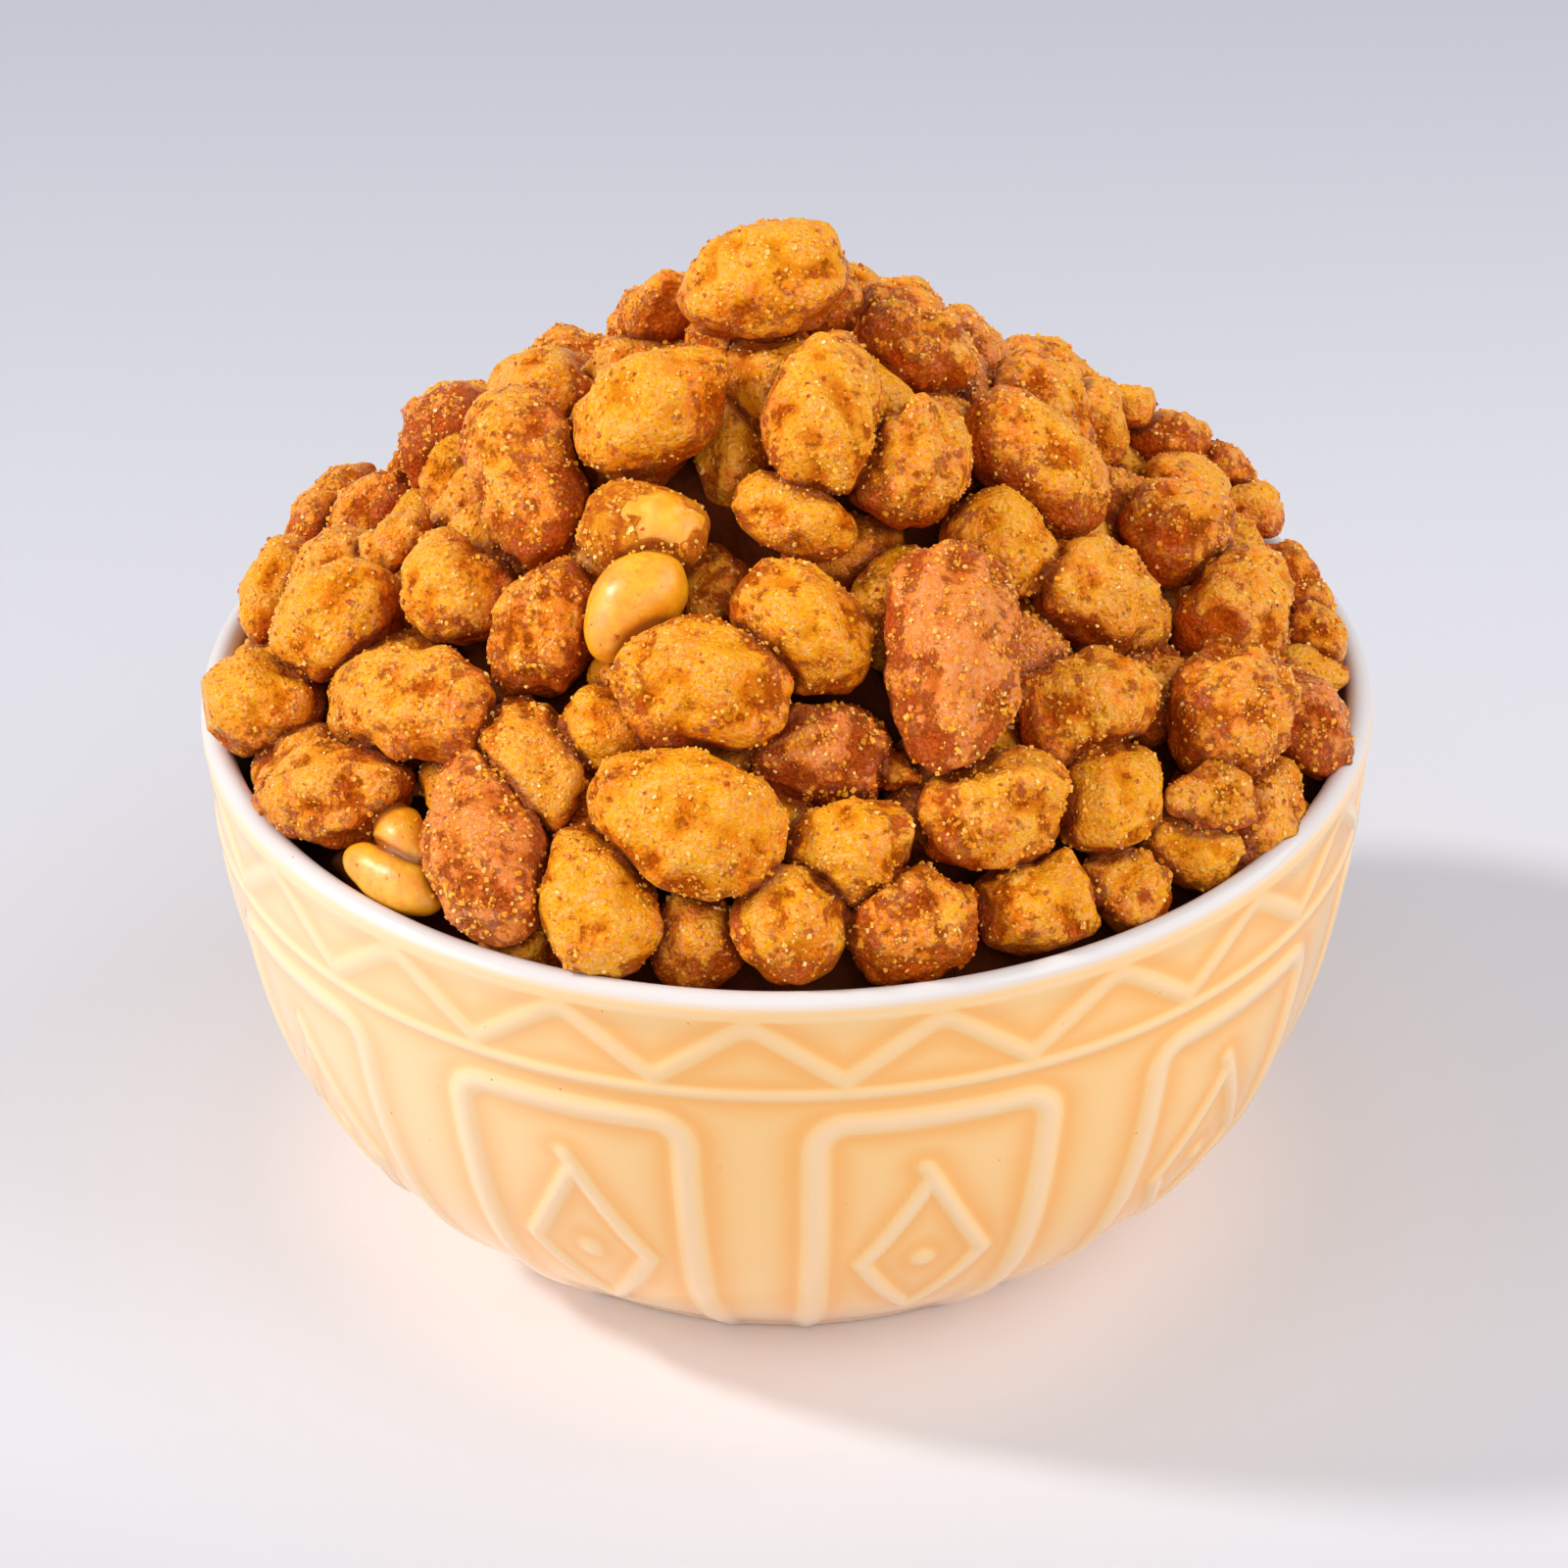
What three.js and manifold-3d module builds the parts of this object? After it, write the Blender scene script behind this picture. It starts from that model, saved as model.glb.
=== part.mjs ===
// A bowl of coated peanuts: a round glazed bowl with a moulded relief, and the heap of
// nuts that fills it and stands well above its rim. Millimetres, +Z up, front towards -Y,
// origin on the bowl's axis where its foot stands. Bearings are in degrees round that
// axis, 0 at the front and growing to the right, and radii are measured from it.
import * as THREE from "three";
import { mergeVertices } from "three/addons/utils/BufferGeometryUtils.js";
import Module from "manifold-3d";

// Bowl
const RIM_RADIUS = 60;
const BOWL_HEIGHT = 57;
const FOOT_RADIUS = 35.6;
const BAND_TOP = 54.8; // where the wall ends and the rounded lip starts
const FOOT_FLARE = 40.6; // degrees from level at which the wall leaves the foot
const FOOT_REACH = 14;
const RIM_LEAN = 2.9; // degrees from upright at which the wall meets the lip
const RIM_REACH = 40.3;
const WALL = 3;
const FLOOR_HEIGHT = 4.85;
const FOOT_RING_INNER = 27.5;
const FOOT_RECESS = 1.3;
const CAVITY_SIDES = 40;

// Relief on the outside: the ridges lie on the wall's profile, the ground is sunk
const SINK = 0.55;
const PANELS = 10;
const PANEL_BEARING = 14.2; // of the middle of the first panel
const PANEL_COLUMNS = [0, 3.5, 6.6, 9, 11.7, 14.3, 18, 21.7, 24.3, 27, 29.4, 32.5];
const PANEL_HALF = 11.7; // degrees from a panel's middle to its side ridge
const PANEL_TOP = 41.4;
const DIAMOND_HALF = 6.6;
const DIAMOND_BOTTOM = 10;
const DIAMOND_MIDDLE = 20.5;
const DIAMOND_TOP = 33;
const RING_HEIGHT = 45.2;
const ZIGZAG_LOW = 46.4;
const ZIGZAG_HIGH = 53.6;
const ZIGZAG_HALF = 9; // degrees from a peak to the next valley

// Heap: its nuts' middles lie about a rounded cone, whose height above the rim falls
// from HEAP_TOP with HEAP_SLOPE outside a blunt tip of HEAP_TIP
const HEAP_TOP = 50.8;
const HEAP_SLOPE = 0.88;
const HEAP_TIP = 9;
const CORE_DEPTH = 2; // how far below the nuts' middles the solid core ends
const CORE_SIDES = 20;
const GAP = 0.35; // between the heap and the bowl
const NUT_SIDES = 6;
const NUT_ROWS = 4;
const NUT_THICKNESS = 0.9; // of its width
const NUT_GROWTH = 1.08; // its corners stand out, so that its flats keep the true size
const NUT_ROUGHNESS = 0.08;
const SEED = 26;

// The nuts that show in front: bearing, radius and height above the rim of the middle,
// length, width, turn of the long axis from level up the slope, tip of it out of the slope
const FRONT_NUTS = [
  // round the top
  [-41, 3, 46, 17, 13, 50, 0],
  [-100, 4, 38, 13, 10, 70, 0],
  [154, 8, 40, 13, 8, -30, 45],
  [-131, 17, 35, 12, 8, -80, -25],
  [-47, 18, 37, 16, 12, 65, 0],
  [13, 16, 38, 18, 12, 70, 0],
  [95, 13, 36, 14, 11, -75, 5],
  [128, 25, 27, 12, 8, -10, 45],
  [38, 20, 33, 15, 12, 20, 0],
  [3, 22, 31, 13, 8, -30, 0],
  [-33, 25, 29, 14, 10, 5, 0],
  [-27, 32, 25, 13, 9, 75, 0],
  [3, 32, 24, 15, 12, -45, 0],
  // left side
  [-127, 30, 23, 14, 10, -5, 25],
  [-69, 27, 28, 22, 13, -20, -15],
  [-106, 35, 16, 13, 8, 0, -35],
  [-126, 47, 10, 9, 6, -5, 10],
  [-118, 54, 5, 15, 8, -10, -5],
  [-115, 47, 8, 14, 9, -75, 0],
  [-86, 39, 17, 10, 7, 70, -5],
  [-64, 36, 19, 13, 11, 20, -15],
  [-99, 53, 5, 13, 9, -20, -10],
  [-76, 46, 13, 15, 13, 65, 0],
  [-75, 54, 5, 15, 11, 35, -25],
  [-53, 45, 13, 18, 12, 20, -5],
  [-43, 34, 20, 14, 11, -90, 0],
  [-57, 53, 4, 18, 11, 25, -10],
  [-34, 53, 7, 20, 13, -50, 0],
  [-34, 43, 11, 16, 11, -35, 0],
  [-46, 52, 3, 11, 6, -25, 0],
  [-44, 55, 1, 13, 6, 0, -5],
  // middle
  [-12, 38, 21, 18, 13, -10, 0],
  [-26, 39, 15, 12, 9, 5, 0],
  [5, 39, 14, 15, 11, -5, 0],
  [14, 41, 13, 6, 5, -40, 0],
  [-11, 48, 12, 20, 14, -20, 0],
  [7, 48, 9, 12, 11, -5, 0],
  [25, 37, 22, 24, 14, 70, 0],
  [-20, 54, 5, 15, 12, -55, 0],
  [0, 54, 5, 12, 12, 90, 0],
  [13, 54, 4, 14, 11, 0, 0],
  [27, 54, 3, 13, 10, -25, 0],
  // right side
  [25, 47, 10, 16, 12, 5, 0],
  [40, 48, 8, 14, 11, 35, 0],
  [43, 42, 14, 15, 12, 0, 5],
  [58, 35, 20, 14, 11, -35, 5],
  [50, 28, 25, 14, 10, -80, 0],
  [72, 26, 29, 16, 12, 75, 0],
  [119, 36, 18, 13, 9, 0, 35],
  [127, 34, 23, 8, 5, 5, -25],
  [124, 42, 18, 9, 6, 85, -25],
  [122, 47, 12, 12, 9, 85, -25],
  [119, 53, 9, 10, 6, 80, 0],
  [85, 39, 18, 13, 11, -55, 20],
  [114, 53, 6, 9, 7, -85, 25],
  [78, 46, 12, 16, 12, 0, 25],
  [100, 53, 4, 13, 8, 20, 0],
  [91, 54, 2, 11, 7, 20, 15],
  [61, 50, 9, 15, 13, 5, 15],
  [73, 54, 3, 13, 10, -85, 0],
  [48, 54, 2, 14, 9, -35, 0],
  [38, 54, 1, 11, 9, -40, 0],
];

// The back of the heap: nuts tried all over its slope, kept where there is room
const TRIES = 1500;
const BACK_BEARINGS = [88, 272];
const OUTERMOST = 53.5;
const NUT_LENGTH = [13, 19];
const NUT_WIDTH = [0.66, 0.9]; // of its length
const NUT_RISE = [-0.5, 2]; // over the cone
const CROWDING = 0.88; // of two nuts' mean radii together, the nearest that they may lie

const wasm = await Module();
wasm.setup();

const radians = THREE.MathUtils.degToRad;
const { lerp, clamp } = THREE.MathUtils;

function randomFrom(seed) {
  let state = seed;
  return () => {
    state = (state + 0x6d2b79f5) | 0;
    let t = Math.imul(state ^ (state >>> 15), 1 | state);
    t = (t + Math.imul(t ^ (t >>> 7), 61 | t)) ^ t;
    return ((t ^ (t >>> 14)) >>> 0) / 4294967296;
  };
}

function toSolid(geometry) {
  const bare = geometry.clone();
  bare.deleteAttribute("normal");
  bare.deleteAttribute("uv");
  const merged = mergeVertices(bare, 1e-4);
  return new wasm.Manifold(
    new wasm.Mesh({
      numProp: 3,
      vertProperties: new Float32Array(merged.attributes.position.array),
      triVerts: new Uint32Array(merged.index.array),
    }),
  );
}

function toGeometry(solid) {
  const mesh = solid.getMesh();
  const geometry = new THREE.BufferGeometry();
  geometry.setAttribute("position", new THREE.BufferAttribute(mesh.vertProperties, 3));
  geometry.setIndex(new THREE.BufferAttribute(mesh.triVerts, 1));
  geometry.computeVertexNormals();
  return geometry;
}

// A lathe about +Z. Its first side faces the front, and its vertices run profile by
// profile round to the right.
function latheUp(points, sides) {
  return new THREE.LatheGeometry(points, sides).rotateX(Math.PI / 2);
}

// The wall's outer profile as a curve of radius against height.
function wallCurve() {
  const flare = radians(FOOT_FLARE);
  const lean = radians(RIM_LEAN);
  return new THREE.CubicBezierCurve(
    new THREE.Vector2(FOOT_RADIUS, 0),
    new THREE.Vector2(
      FOOT_RADIUS + FOOT_REACH * Math.cos(flare),
      FOOT_REACH * Math.sin(flare),
    ),
    new THREE.Vector2(
      RIM_RADIUS - RIM_REACH * Math.sin(lean),
      BAND_TOP - RIM_REACH * Math.cos(lean),
    ),
    new THREE.Vector2(RIM_RADIUS, BAND_TOP),
  );
}

// The point of the wall at a height, moved inwards along the wall's normal.
function wallPoint(curve, height, inset) {
  let low = 0;
  let high = 1;
  for (let i = 0; i < 30; i++) {
    const middle = (low + high) / 2;
    if (curve.getPoint(middle).y < height) low = middle;
    else high = middle;
  }
  const point = curve.getPoint(low);
  const tangent = curve.getTangent(low);
  return new THREE.Vector2(point.x - tangent.y * inset, point.y + tangent.x * inset);
}

// The heights of the relief's rows at one bearing, and whether each is a ridge there.
function reliefRows(bearing) {
  const turn = THREE.MathUtils.euclideanModulo(bearing - PANEL_BEARING, 360 / PANELS);
  const off = Math.min(turn, 360 / PANELS - turn);
  const across = Math.min(off / DIAMOND_HALF, 1);
  const spread = clamp((off - DIAMOND_HALF) / (PANEL_HALF - DIAMOND_HALF), 0, 1);
  const low = lerp(DIAMOND_BOTTOM, DIAMOND_MIDDLE - 1, across);
  const high = lerp(DIAMOND_TOP, DIAMOND_MIDDLE + 1, across);
  const inner = lerp(1.1, 0.6, across);
  const closeRows = [
    low - 1.1,
    low,
    low + inner,
    DIAMOND_MIDDLE,
    high - inner,
    high,
    high + 1.1,
  ];
  const side = off >= PANEL_HALF - 0.1 && off <= PANEL_HALF + 0.1;
  const inDiamond = off <= DIAMOND_HALF + 0.1;
  const rows = [];
  closeRows.forEach((height, i) => {
    const even = lerp(8.5, 34, i / 6);
    const onDiamond = inDiamond && (i === 1 || i === 5);
    const atMiddle = i === 3 && inDiamond && (off < 0.1 || off > DIAMOND_HALF - 0.1);
    rows.push([lerp(height, even, spread), side || onDiamond || atMiddle]);
  });
  rows.push([PANEL_TOP - 2, side]);
  rows.push([PANEL_TOP, off <= PANEL_HALF + 0.1]);
  rows.push([(PANEL_TOP + RING_HEIGHT) / 2, false]);
  rows.push([RING_HEIGHT, true]);
  const tooth = THREE.MathUtils.euclideanModulo(turn, 2 * ZIGZAG_HALF) / ZIGZAG_HALF;
  const crest = lerp(ZIGZAG_HIGH, ZIGZAG_LOW, tooth > 1 ? 2 - tooth : tooth);
  rows.push([Math.max(crest - 1.1, RING_HEIGHT + 0.6), false]);
  rows.push([crest, true]);
  rows.push([Math.min(crest + 1.1, BAND_TOP - 0.4), false]);
  return rows;
}

function bowlSolid() {
  const curve = wallCurve();
  const columns = [];
  for (let panel = 0; panel < PANELS; panel++) {
    for (const offset of PANEL_COLUMNS) {
      columns.push(PANEL_BEARING + (360 / PANELS) * panel + offset);
    }
  }
  const lip = [
    new THREE.Vector2(RIM_RADIUS, BAND_TOP),
    new THREE.Vector2(RIM_RADIUS - 0.25, BOWL_HEIGHT - 1),
    new THREE.Vector2(RIM_RADIUS - 0.75, BOWL_HEIGHT - 0.3),
    new THREE.Vector2(RIM_RADIUS - 1.5, BOWL_HEIGHT),
    new THREE.Vector2(0, BOWL_HEIGHT),
  ];
  const profiles = columns.map((bearing) => [
    new THREE.Vector2(0, 0),
    new THREE.Vector2(FOOT_RADIUS, 0),
    ...reliefRows(bearing).map(([height, ridge]) =>
      wallPoint(curve, height, ridge ? 0 : SINK),
    ),
    ...lip,
  ]);

  // Every vertex of a plain lathe is moved to its column's own profile.
  const body = latheUp(profiles[0], columns.length);
  const position = body.attributes.position;
  for (let i = 0; i < position.count; i++) {
    const column = Math.floor(i / profiles[0].length) % columns.length;
    const point = profiles[column][i % profiles[0].length];
    const bearing = radians(columns[column]);
    position.setXYZ(i, point.x * Math.sin(bearing), -point.x * Math.cos(bearing), point.y);
  }

  const cavity = latheUp([new THREE.Vector2(0, FLOOR_HEIGHT), ...innerWall(0)], CAVITY_SIDES);
  const recess = latheUp(
    [
      new THREE.Vector2(0, -1),
      new THREE.Vector2(FOOT_RING_INNER, -1),
      new THREE.Vector2(FOOT_RING_INNER - 0.6, FOOT_RECESS),
      new THREE.Vector2(0, FOOT_RECESS),
    ],
    CAVITY_SIDES / 2,
  );
  return toSolid(body).subtract(toSolid(cavity)).subtract(toSolid(recess));
}

// The cavity's profile from its floor to well above the lip and back to the axis, drawn
// in by a gap.
function innerWall(gap) {
  const curve = wallCurve();
  const wall = [2.6, 5.5, 10, 17, 27, 40, 53].map((height) =>
    wallPoint(curve, height, WALL + gap),
  );
  return [
    ...wall,
    new THREE.Vector2(RIM_RADIUS - 2.7 - gap, BOWL_HEIGHT - 0.9),
    new THREE.Vector2(RIM_RADIUS - 2.2 - gap, BOWL_HEIGHT - 0.25 + gap),
    new THREE.Vector2(RIM_RADIUS - 1.5, BOWL_HEIGHT + gap + 0.02),
    new THREE.Vector2(RIM_RADIUS, BOWL_HEIGHT + gap + 0.05),
    new THREE.Vector2(RIM_RADIUS, 2 * BOWL_HEIGHT),
    new THREE.Vector2(0, 2 * BOWL_HEIGHT),
  ];
}

function heapHeight(radius) {
  return HEAP_TOP - HEAP_SLOPE * Math.hypot(radius, HEAP_TIP);
}

// A nut lies on the heap's slope: level across it, up it, and out of it are its axes.
function slopeAxes(bearing, radius) {
  const fall = (HEAP_SLOPE * radius) / Math.hypot(radius, HEAP_TIP);
  const out = new THREE.Vector3(
    fall * Math.sin(bearing),
    -fall * Math.cos(bearing),
    1,
  ).normalize();
  const level = new THREE.Vector3(Math.cos(bearing), Math.sin(bearing), 0);
  const up = new THREE.Vector3().crossVectors(out, level);
  return { level, up, out };
}

function nutAt([bearing, radius, rise, length, width, turn, tip]) {
  const angle = radians(bearing);
  const { level, up, out } = slopeAxes(angle, radius);
  const along = new THREE.Vector3()
    .addScaledVector(level, Math.cos(radians(turn)))
    .addScaledVector(up, Math.sin(radians(turn)))
    .multiplyScalar(Math.cos(radians(tip)))
    .addScaledVector(out, Math.sin(radians(tip)));
  const across = new THREE.Vector3().crossVectors(out, along).normalize();
  const thick = new THREE.Vector3().crossVectors(along, across);
  const middle = new THREE.Vector3(
    radius * Math.sin(angle),
    -radius * Math.cos(angle),
    BOWL_HEIGHT + rise,
  );
  return { middle, along, across, thick, length, width };
}

// Nuts strewn over the back of the cone, each kept where no earlier one is too near.
function strewnNuts(placed, random) {
  for (let i = 0; i < TRIES; i++) {
    const bearing = lerp(...BACK_BEARINGS, random());
    const radius = OUTERMOST * Math.sqrt(random());
    const rise = heapHeight(radius) + lerp(...NUT_RISE, random());
    const length = lerp(...NUT_LENGTH, random());
    const width = length * lerp(...NUT_WIDTH, random());
    const turn = lerp(-90, 90, random());
    const tip = lerp(-15, 15, random());
    const nut = nutAt([bearing, radius, rise, length, width, turn, tip]);
    const crowded = placed.some((other) => {
      const reach = (nut.length + nut.width + other.length + other.width) / 4;
      return nut.middle.distanceTo(other.middle) < CROWDING * reach;
    });
    if (!crowded) placed.push(nut);
  }
  return placed;
}

// One nut as a faceted ball with slightly uneven corners, drawn out along its length.
function nutSolid(nut, random) {
  const ball = new THREE.SphereGeometry(1, NUT_SIDES, NUT_ROWS);
  ball.deleteAttribute("normal");
  ball.deleteAttribute("uv");
  const shape = mergeVertices(ball, 1e-4);
  const position = shape.attributes.position;
  const corner = new THREE.Vector3();
  for (let i = 0; i < position.count; i++) {
    const size = NUT_GROWTH + NUT_ROUGHNESS * (random() - 0.5);
    corner.fromBufferAttribute(position, i).multiplyScalar(size);
    position.setXYZ(i, corner.x, corner.y, corner.z);
  }
  const place = new THREE.Matrix4().makeBasis(
    nut.across.clone().multiplyScalar(nut.width / 2),
    nut.along.clone().multiplyScalar(nut.length / 2),
    nut.thick.clone().multiplyScalar((-NUT_THICKNESS * nut.width) / 2),
  );
  place.setPosition(nut.middle);
  return toSolid(shape.applyMatrix4(place));
}

function heapSolid() {
  const random = randomFrom(SEED);
  const room = latheUp(
    [new THREE.Vector2(0, FLOOR_HEIGHT + GAP), ...innerWall(GAP)],
    CAVITY_SIDES,
  );
  const slope = [50, 30, 12, 0].map(
    (radius) => new THREE.Vector2(radius, BOWL_HEIGHT + heapHeight(radius) - CORE_DEPTH),
  );
  const core = latheUp(
    [
      new THREE.Vector2(0, 0),
      new THREE.Vector2(RIM_RADIUS, 0),
      new THREE.Vector2(RIM_RADIUS, BOWL_HEIGHT - 4),
      ...slope,
    ],
    CORE_SIDES,
  );
  const nuts = strewnNuts(FRONT_NUTS.map(nutAt), random);
  let heap = toSolid(core);
  for (const nut of nuts) heap = heap.add(nutSolid(nut, random));
  const pieces = heap.intersect(toSolid(room)).decompose();
  return pieces.reduce((most, piece) => (piece.volume() > most.volume() ? piece : most));
}

const glaze = new THREE.MeshStandardMaterial({
  color: 0xf6cf97,
  roughness: 0.18,
  metalness: 0,
});
const coating = new THREE.MeshStandardMaterial({
  color: 0xc98a35,
  roughness: 0.75,
  metalness: 0,
});

const bowl = new THREE.Mesh(toGeometry(bowlSolid()), glaze);
bowl.name = "bowl";

const peanuts = new THREE.Mesh(toGeometry(heapSolid()), coating);
peanuts.name = "peanuts";

const bowlOfPeanuts = new THREE.Group();
bowlOfPeanuts.add(bowl, peanuts);

export default bowlOfPeanuts;
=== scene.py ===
"""A bowl of coated peanuts on a pale floor.

The bowl is glazed, with a moulded relief under amber glaze and a white lip and inside.
The heap is made of single nuts in four coats, a few bare kernels and spice grains over
a dark core. Sizes are millimetres, bearings are degrees round the bowl's axis from the
front (-Y) to the right, and a mesh is scaled to metres when it is made.
"""

import math

import bpy
import numpy as np
from mathutils import Matrix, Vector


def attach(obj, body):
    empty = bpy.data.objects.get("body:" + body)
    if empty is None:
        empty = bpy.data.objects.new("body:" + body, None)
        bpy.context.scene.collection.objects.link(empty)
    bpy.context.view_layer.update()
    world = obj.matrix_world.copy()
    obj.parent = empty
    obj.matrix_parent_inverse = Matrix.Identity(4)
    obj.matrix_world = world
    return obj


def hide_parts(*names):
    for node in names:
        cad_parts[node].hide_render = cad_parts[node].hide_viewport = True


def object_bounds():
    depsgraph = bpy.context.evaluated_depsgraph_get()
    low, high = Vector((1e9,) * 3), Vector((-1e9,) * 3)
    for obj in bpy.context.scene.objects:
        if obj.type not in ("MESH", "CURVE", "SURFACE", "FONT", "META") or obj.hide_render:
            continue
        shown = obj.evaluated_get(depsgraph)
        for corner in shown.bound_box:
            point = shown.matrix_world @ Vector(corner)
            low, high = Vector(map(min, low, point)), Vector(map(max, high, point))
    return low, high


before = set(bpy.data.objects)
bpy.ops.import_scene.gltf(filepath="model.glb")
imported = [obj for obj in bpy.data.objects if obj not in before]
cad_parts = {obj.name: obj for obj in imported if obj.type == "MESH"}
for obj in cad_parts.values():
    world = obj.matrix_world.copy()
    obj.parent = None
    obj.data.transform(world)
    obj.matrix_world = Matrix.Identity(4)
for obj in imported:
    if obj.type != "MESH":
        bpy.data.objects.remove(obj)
cad_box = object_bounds()


# Camera: a long lens from the front, looking down past the rim into the heap. The
# bowl's axis stands almost in the middle of the picture.
MM = 0.001
SENSOR_MM = 36
LENS_MM = 140
CAMERA_BACK = -535.7
CAMERA_HEIGHT = 380.2
CAMERA_PITCH = 32.15
CAMERA_YAW = 0.037
CAMERA_ROLL = -0.427


def add_camera():
    data = bpy.data.cameras.new("camera")
    data.lens = LENS_MM
    data.sensor_width = SENSOR_MM
    camera = bpy.data.objects.new("camera", data)
    bpy.context.scene.collection.objects.link(camera)
    camera.matrix_world = (
        Matrix.Translation((0, CAMERA_BACK * MM, CAMERA_HEIGHT * MM))
        @ Matrix.Rotation(math.radians(CAMERA_YAW), 4, "Z")
        @ Matrix.Rotation(math.radians(90 - CAMERA_PITCH), 4, "X")
        @ Matrix.Rotation(math.radians(CAMERA_ROLL), 4, "Z")
    )
    bpy.context.scene.camera = camera


add_camera()


# Floor: the wide sheet of matt seamless paper that the bowl stands on. Its colour holds
# painted light and shade: cooler and darker towards the back, where the light falls off,
# a little darker along the front, and brighter round the foot, a painted pool of the
# light that the bowl throws on it.
FLOOR_HALF = 3000
FLOOR_NEAR = (0.70, 0.705, 0.755)
FLOOR_FAR = (0.37, 0.375, 0.437)
FLOOR_FRONT_SHADE = (0.58, 0.59, 0.635)
FLOOR_BOUNCE_LIGHT = (0.87, 0.84, 0.87)
BACK_FADE = (-95, 415)
FRONT_SHADE_FADE = (-35, -95)
BOUNCE_LIGHT_FADE = (61, 37)


def add_piece(name, points, faces, material, values=None, smooth=True):
    """An object at the origin from points in millimetres and equal-sided faces."""
    sides = faces.shape[1]
    mesh = bpy.data.meshes.new(name)
    mesh.vertices.add(len(points))
    mesh.vertices.foreach_set("co", (points * MM).astype(np.float32).ravel())
    mesh.loops.add(faces.size)
    mesh.loops.foreach_set("vertex_index", faces.astype(np.int32).ravel())
    mesh.polygons.add(len(faces))
    mesh.polygons.foreach_set(
        "loop_start", np.arange(0, faces.size, sides, dtype=np.int32)
    )
    mesh.polygons.foreach_set("use_smooth", np.full(len(faces), smooth))
    for key, numbers in (values or {}).items():
        attribute = mesh.attributes.new(key, "FLOAT", "POINT")
        attribute.data.foreach_set("value", numbers.astype(np.float32))
    mesh.update(calc_edges=True)
    mesh.validate()
    mesh.materials.append(material)
    piece = bpy.data.objects.new(name, mesh)
    bpy.context.scene.collection.objects.link(piece)
    return piece


class Shader:
    """A material's node tree, with a method for each kind of node it uses."""

    def __init__(self, name):
        self.material = bpy.data.materials.new(name)
        self.material.use_nodes = True
        self.tree = self.material.node_tree
        self.surface = self.tree.nodes["Principled BSDF"]
        self.place = self.tree.nodes.new("ShaderNodeTexCoord").outputs["Object"]

    def put(self, socket, value):
        """Links a socket to another node's output, or sets its own number."""
        if isinstance(value, bpy.types.NodeSocket):
            self.tree.links.new(value, socket)
        elif isinstance(value, tuple) and len(value) == 3 and socket.type == "RGBA":
            socket.default_value = (*value, 1)
        else:
            socket.default_value = value

    def value(self, attribute):
        """A named value of the mesh's points."""
        node = self.tree.nodes.new("ShaderNodeAttribute")
        node.attribute_name = attribute
        return node.outputs["Fac"]

    def along(self, letter):
        """The place along X, Y or Z."""
        node = self.tree.nodes.new("ShaderNodeSeparateXYZ")
        self.put(node.inputs[0], self.place)
        return node.outputs[letter]

    def noise(self, size, detail=3, roughness=0.55):
        """Noise whose lumps are about size millimetres across."""
        node = self.tree.nodes.new("ShaderNodeTexNoise")
        self.put(node.inputs["Vector"], self.place)
        node.inputs["Scale"].default_value = 1 / (size * MM)
        node.inputs["Detail"].default_value = detail
        node.inputs["Roughness"].default_value = roughness
        return node.outputs["Fac"]

    def cells(self, size):
        """Distance from the middles of random cells about size millimetres apart."""
        node = self.tree.nodes.new("ShaderNodeTexVoronoi")
        self.put(node.inputs["Vector"], self.place)
        node.inputs["Scale"].default_value = 1 / (size * MM)
        return node.outputs["Distance"]

    def math(self, operation, first, second=0.0):
        node = self.tree.nodes.new("ShaderNodeMath")
        node.operation = operation
        self.put(node.inputs[0], first)
        self.put(node.inputs[1], second)
        return node.outputs[0]

    def plus(self, first, second):
        return self.math("ADD", first, second)

    def times(self, first, second):
        return self.math("MULTIPLY", first, second)

    def ramp(self, value, start, end):
        """0 below start and 1 above end, smooth between; start may be above end."""
        node = self.tree.nodes.new("ShaderNodeMapRange")
        node.interpolation_type = "SMOOTHSTEP"
        self.put(node.inputs["Value"], value)
        low, high = min(start, end), max(start, end)
        node.inputs["From Min"].default_value = low
        node.inputs["From Max"].default_value = high
        node.inputs["To Min"].default_value = 0 if start < end else 1
        node.inputs["To Max"].default_value = 1 if start < end else 0
        return node.outputs["Result"]

    def fade(self, value, ends):
        """A ramp between two ends in millimetres."""
        return self.ramp(value, ends[0] * MM, ends[1] * MM)

    def mix(self, share, first, second):
        """Colour from first to second by share."""
        node = self.tree.nodes.new("ShaderNodeMix")
        node.data_type = "RGBA"
        self.put(node.inputs["Factor"], share)
        self.put(node.inputs[6], first)
        self.put(node.inputs[7], second)
        return node.outputs[2]

    def lay(self, colour, over, share, most):
        """Another colour laid over one by share, and by no more than most."""
        return self.mix(self.times(share, most), colour, over)

    def bump(self, height, depth):
        """A normal from height, where 1 is depth millimetres."""
        node = self.tree.nodes.new("ShaderNodeBump")
        self.put(node.inputs["Height"], height)
        node.inputs["Distance"].default_value = depth * MM
        return node.outputs["Normal"]

    def finish(self, **sockets):
        """Sets the surface's sockets, named with _ for each space."""
        for key, value in sockets.items():
            self.put(self.surface.inputs[key.replace("_", " ")], value)
        return self.material


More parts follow.
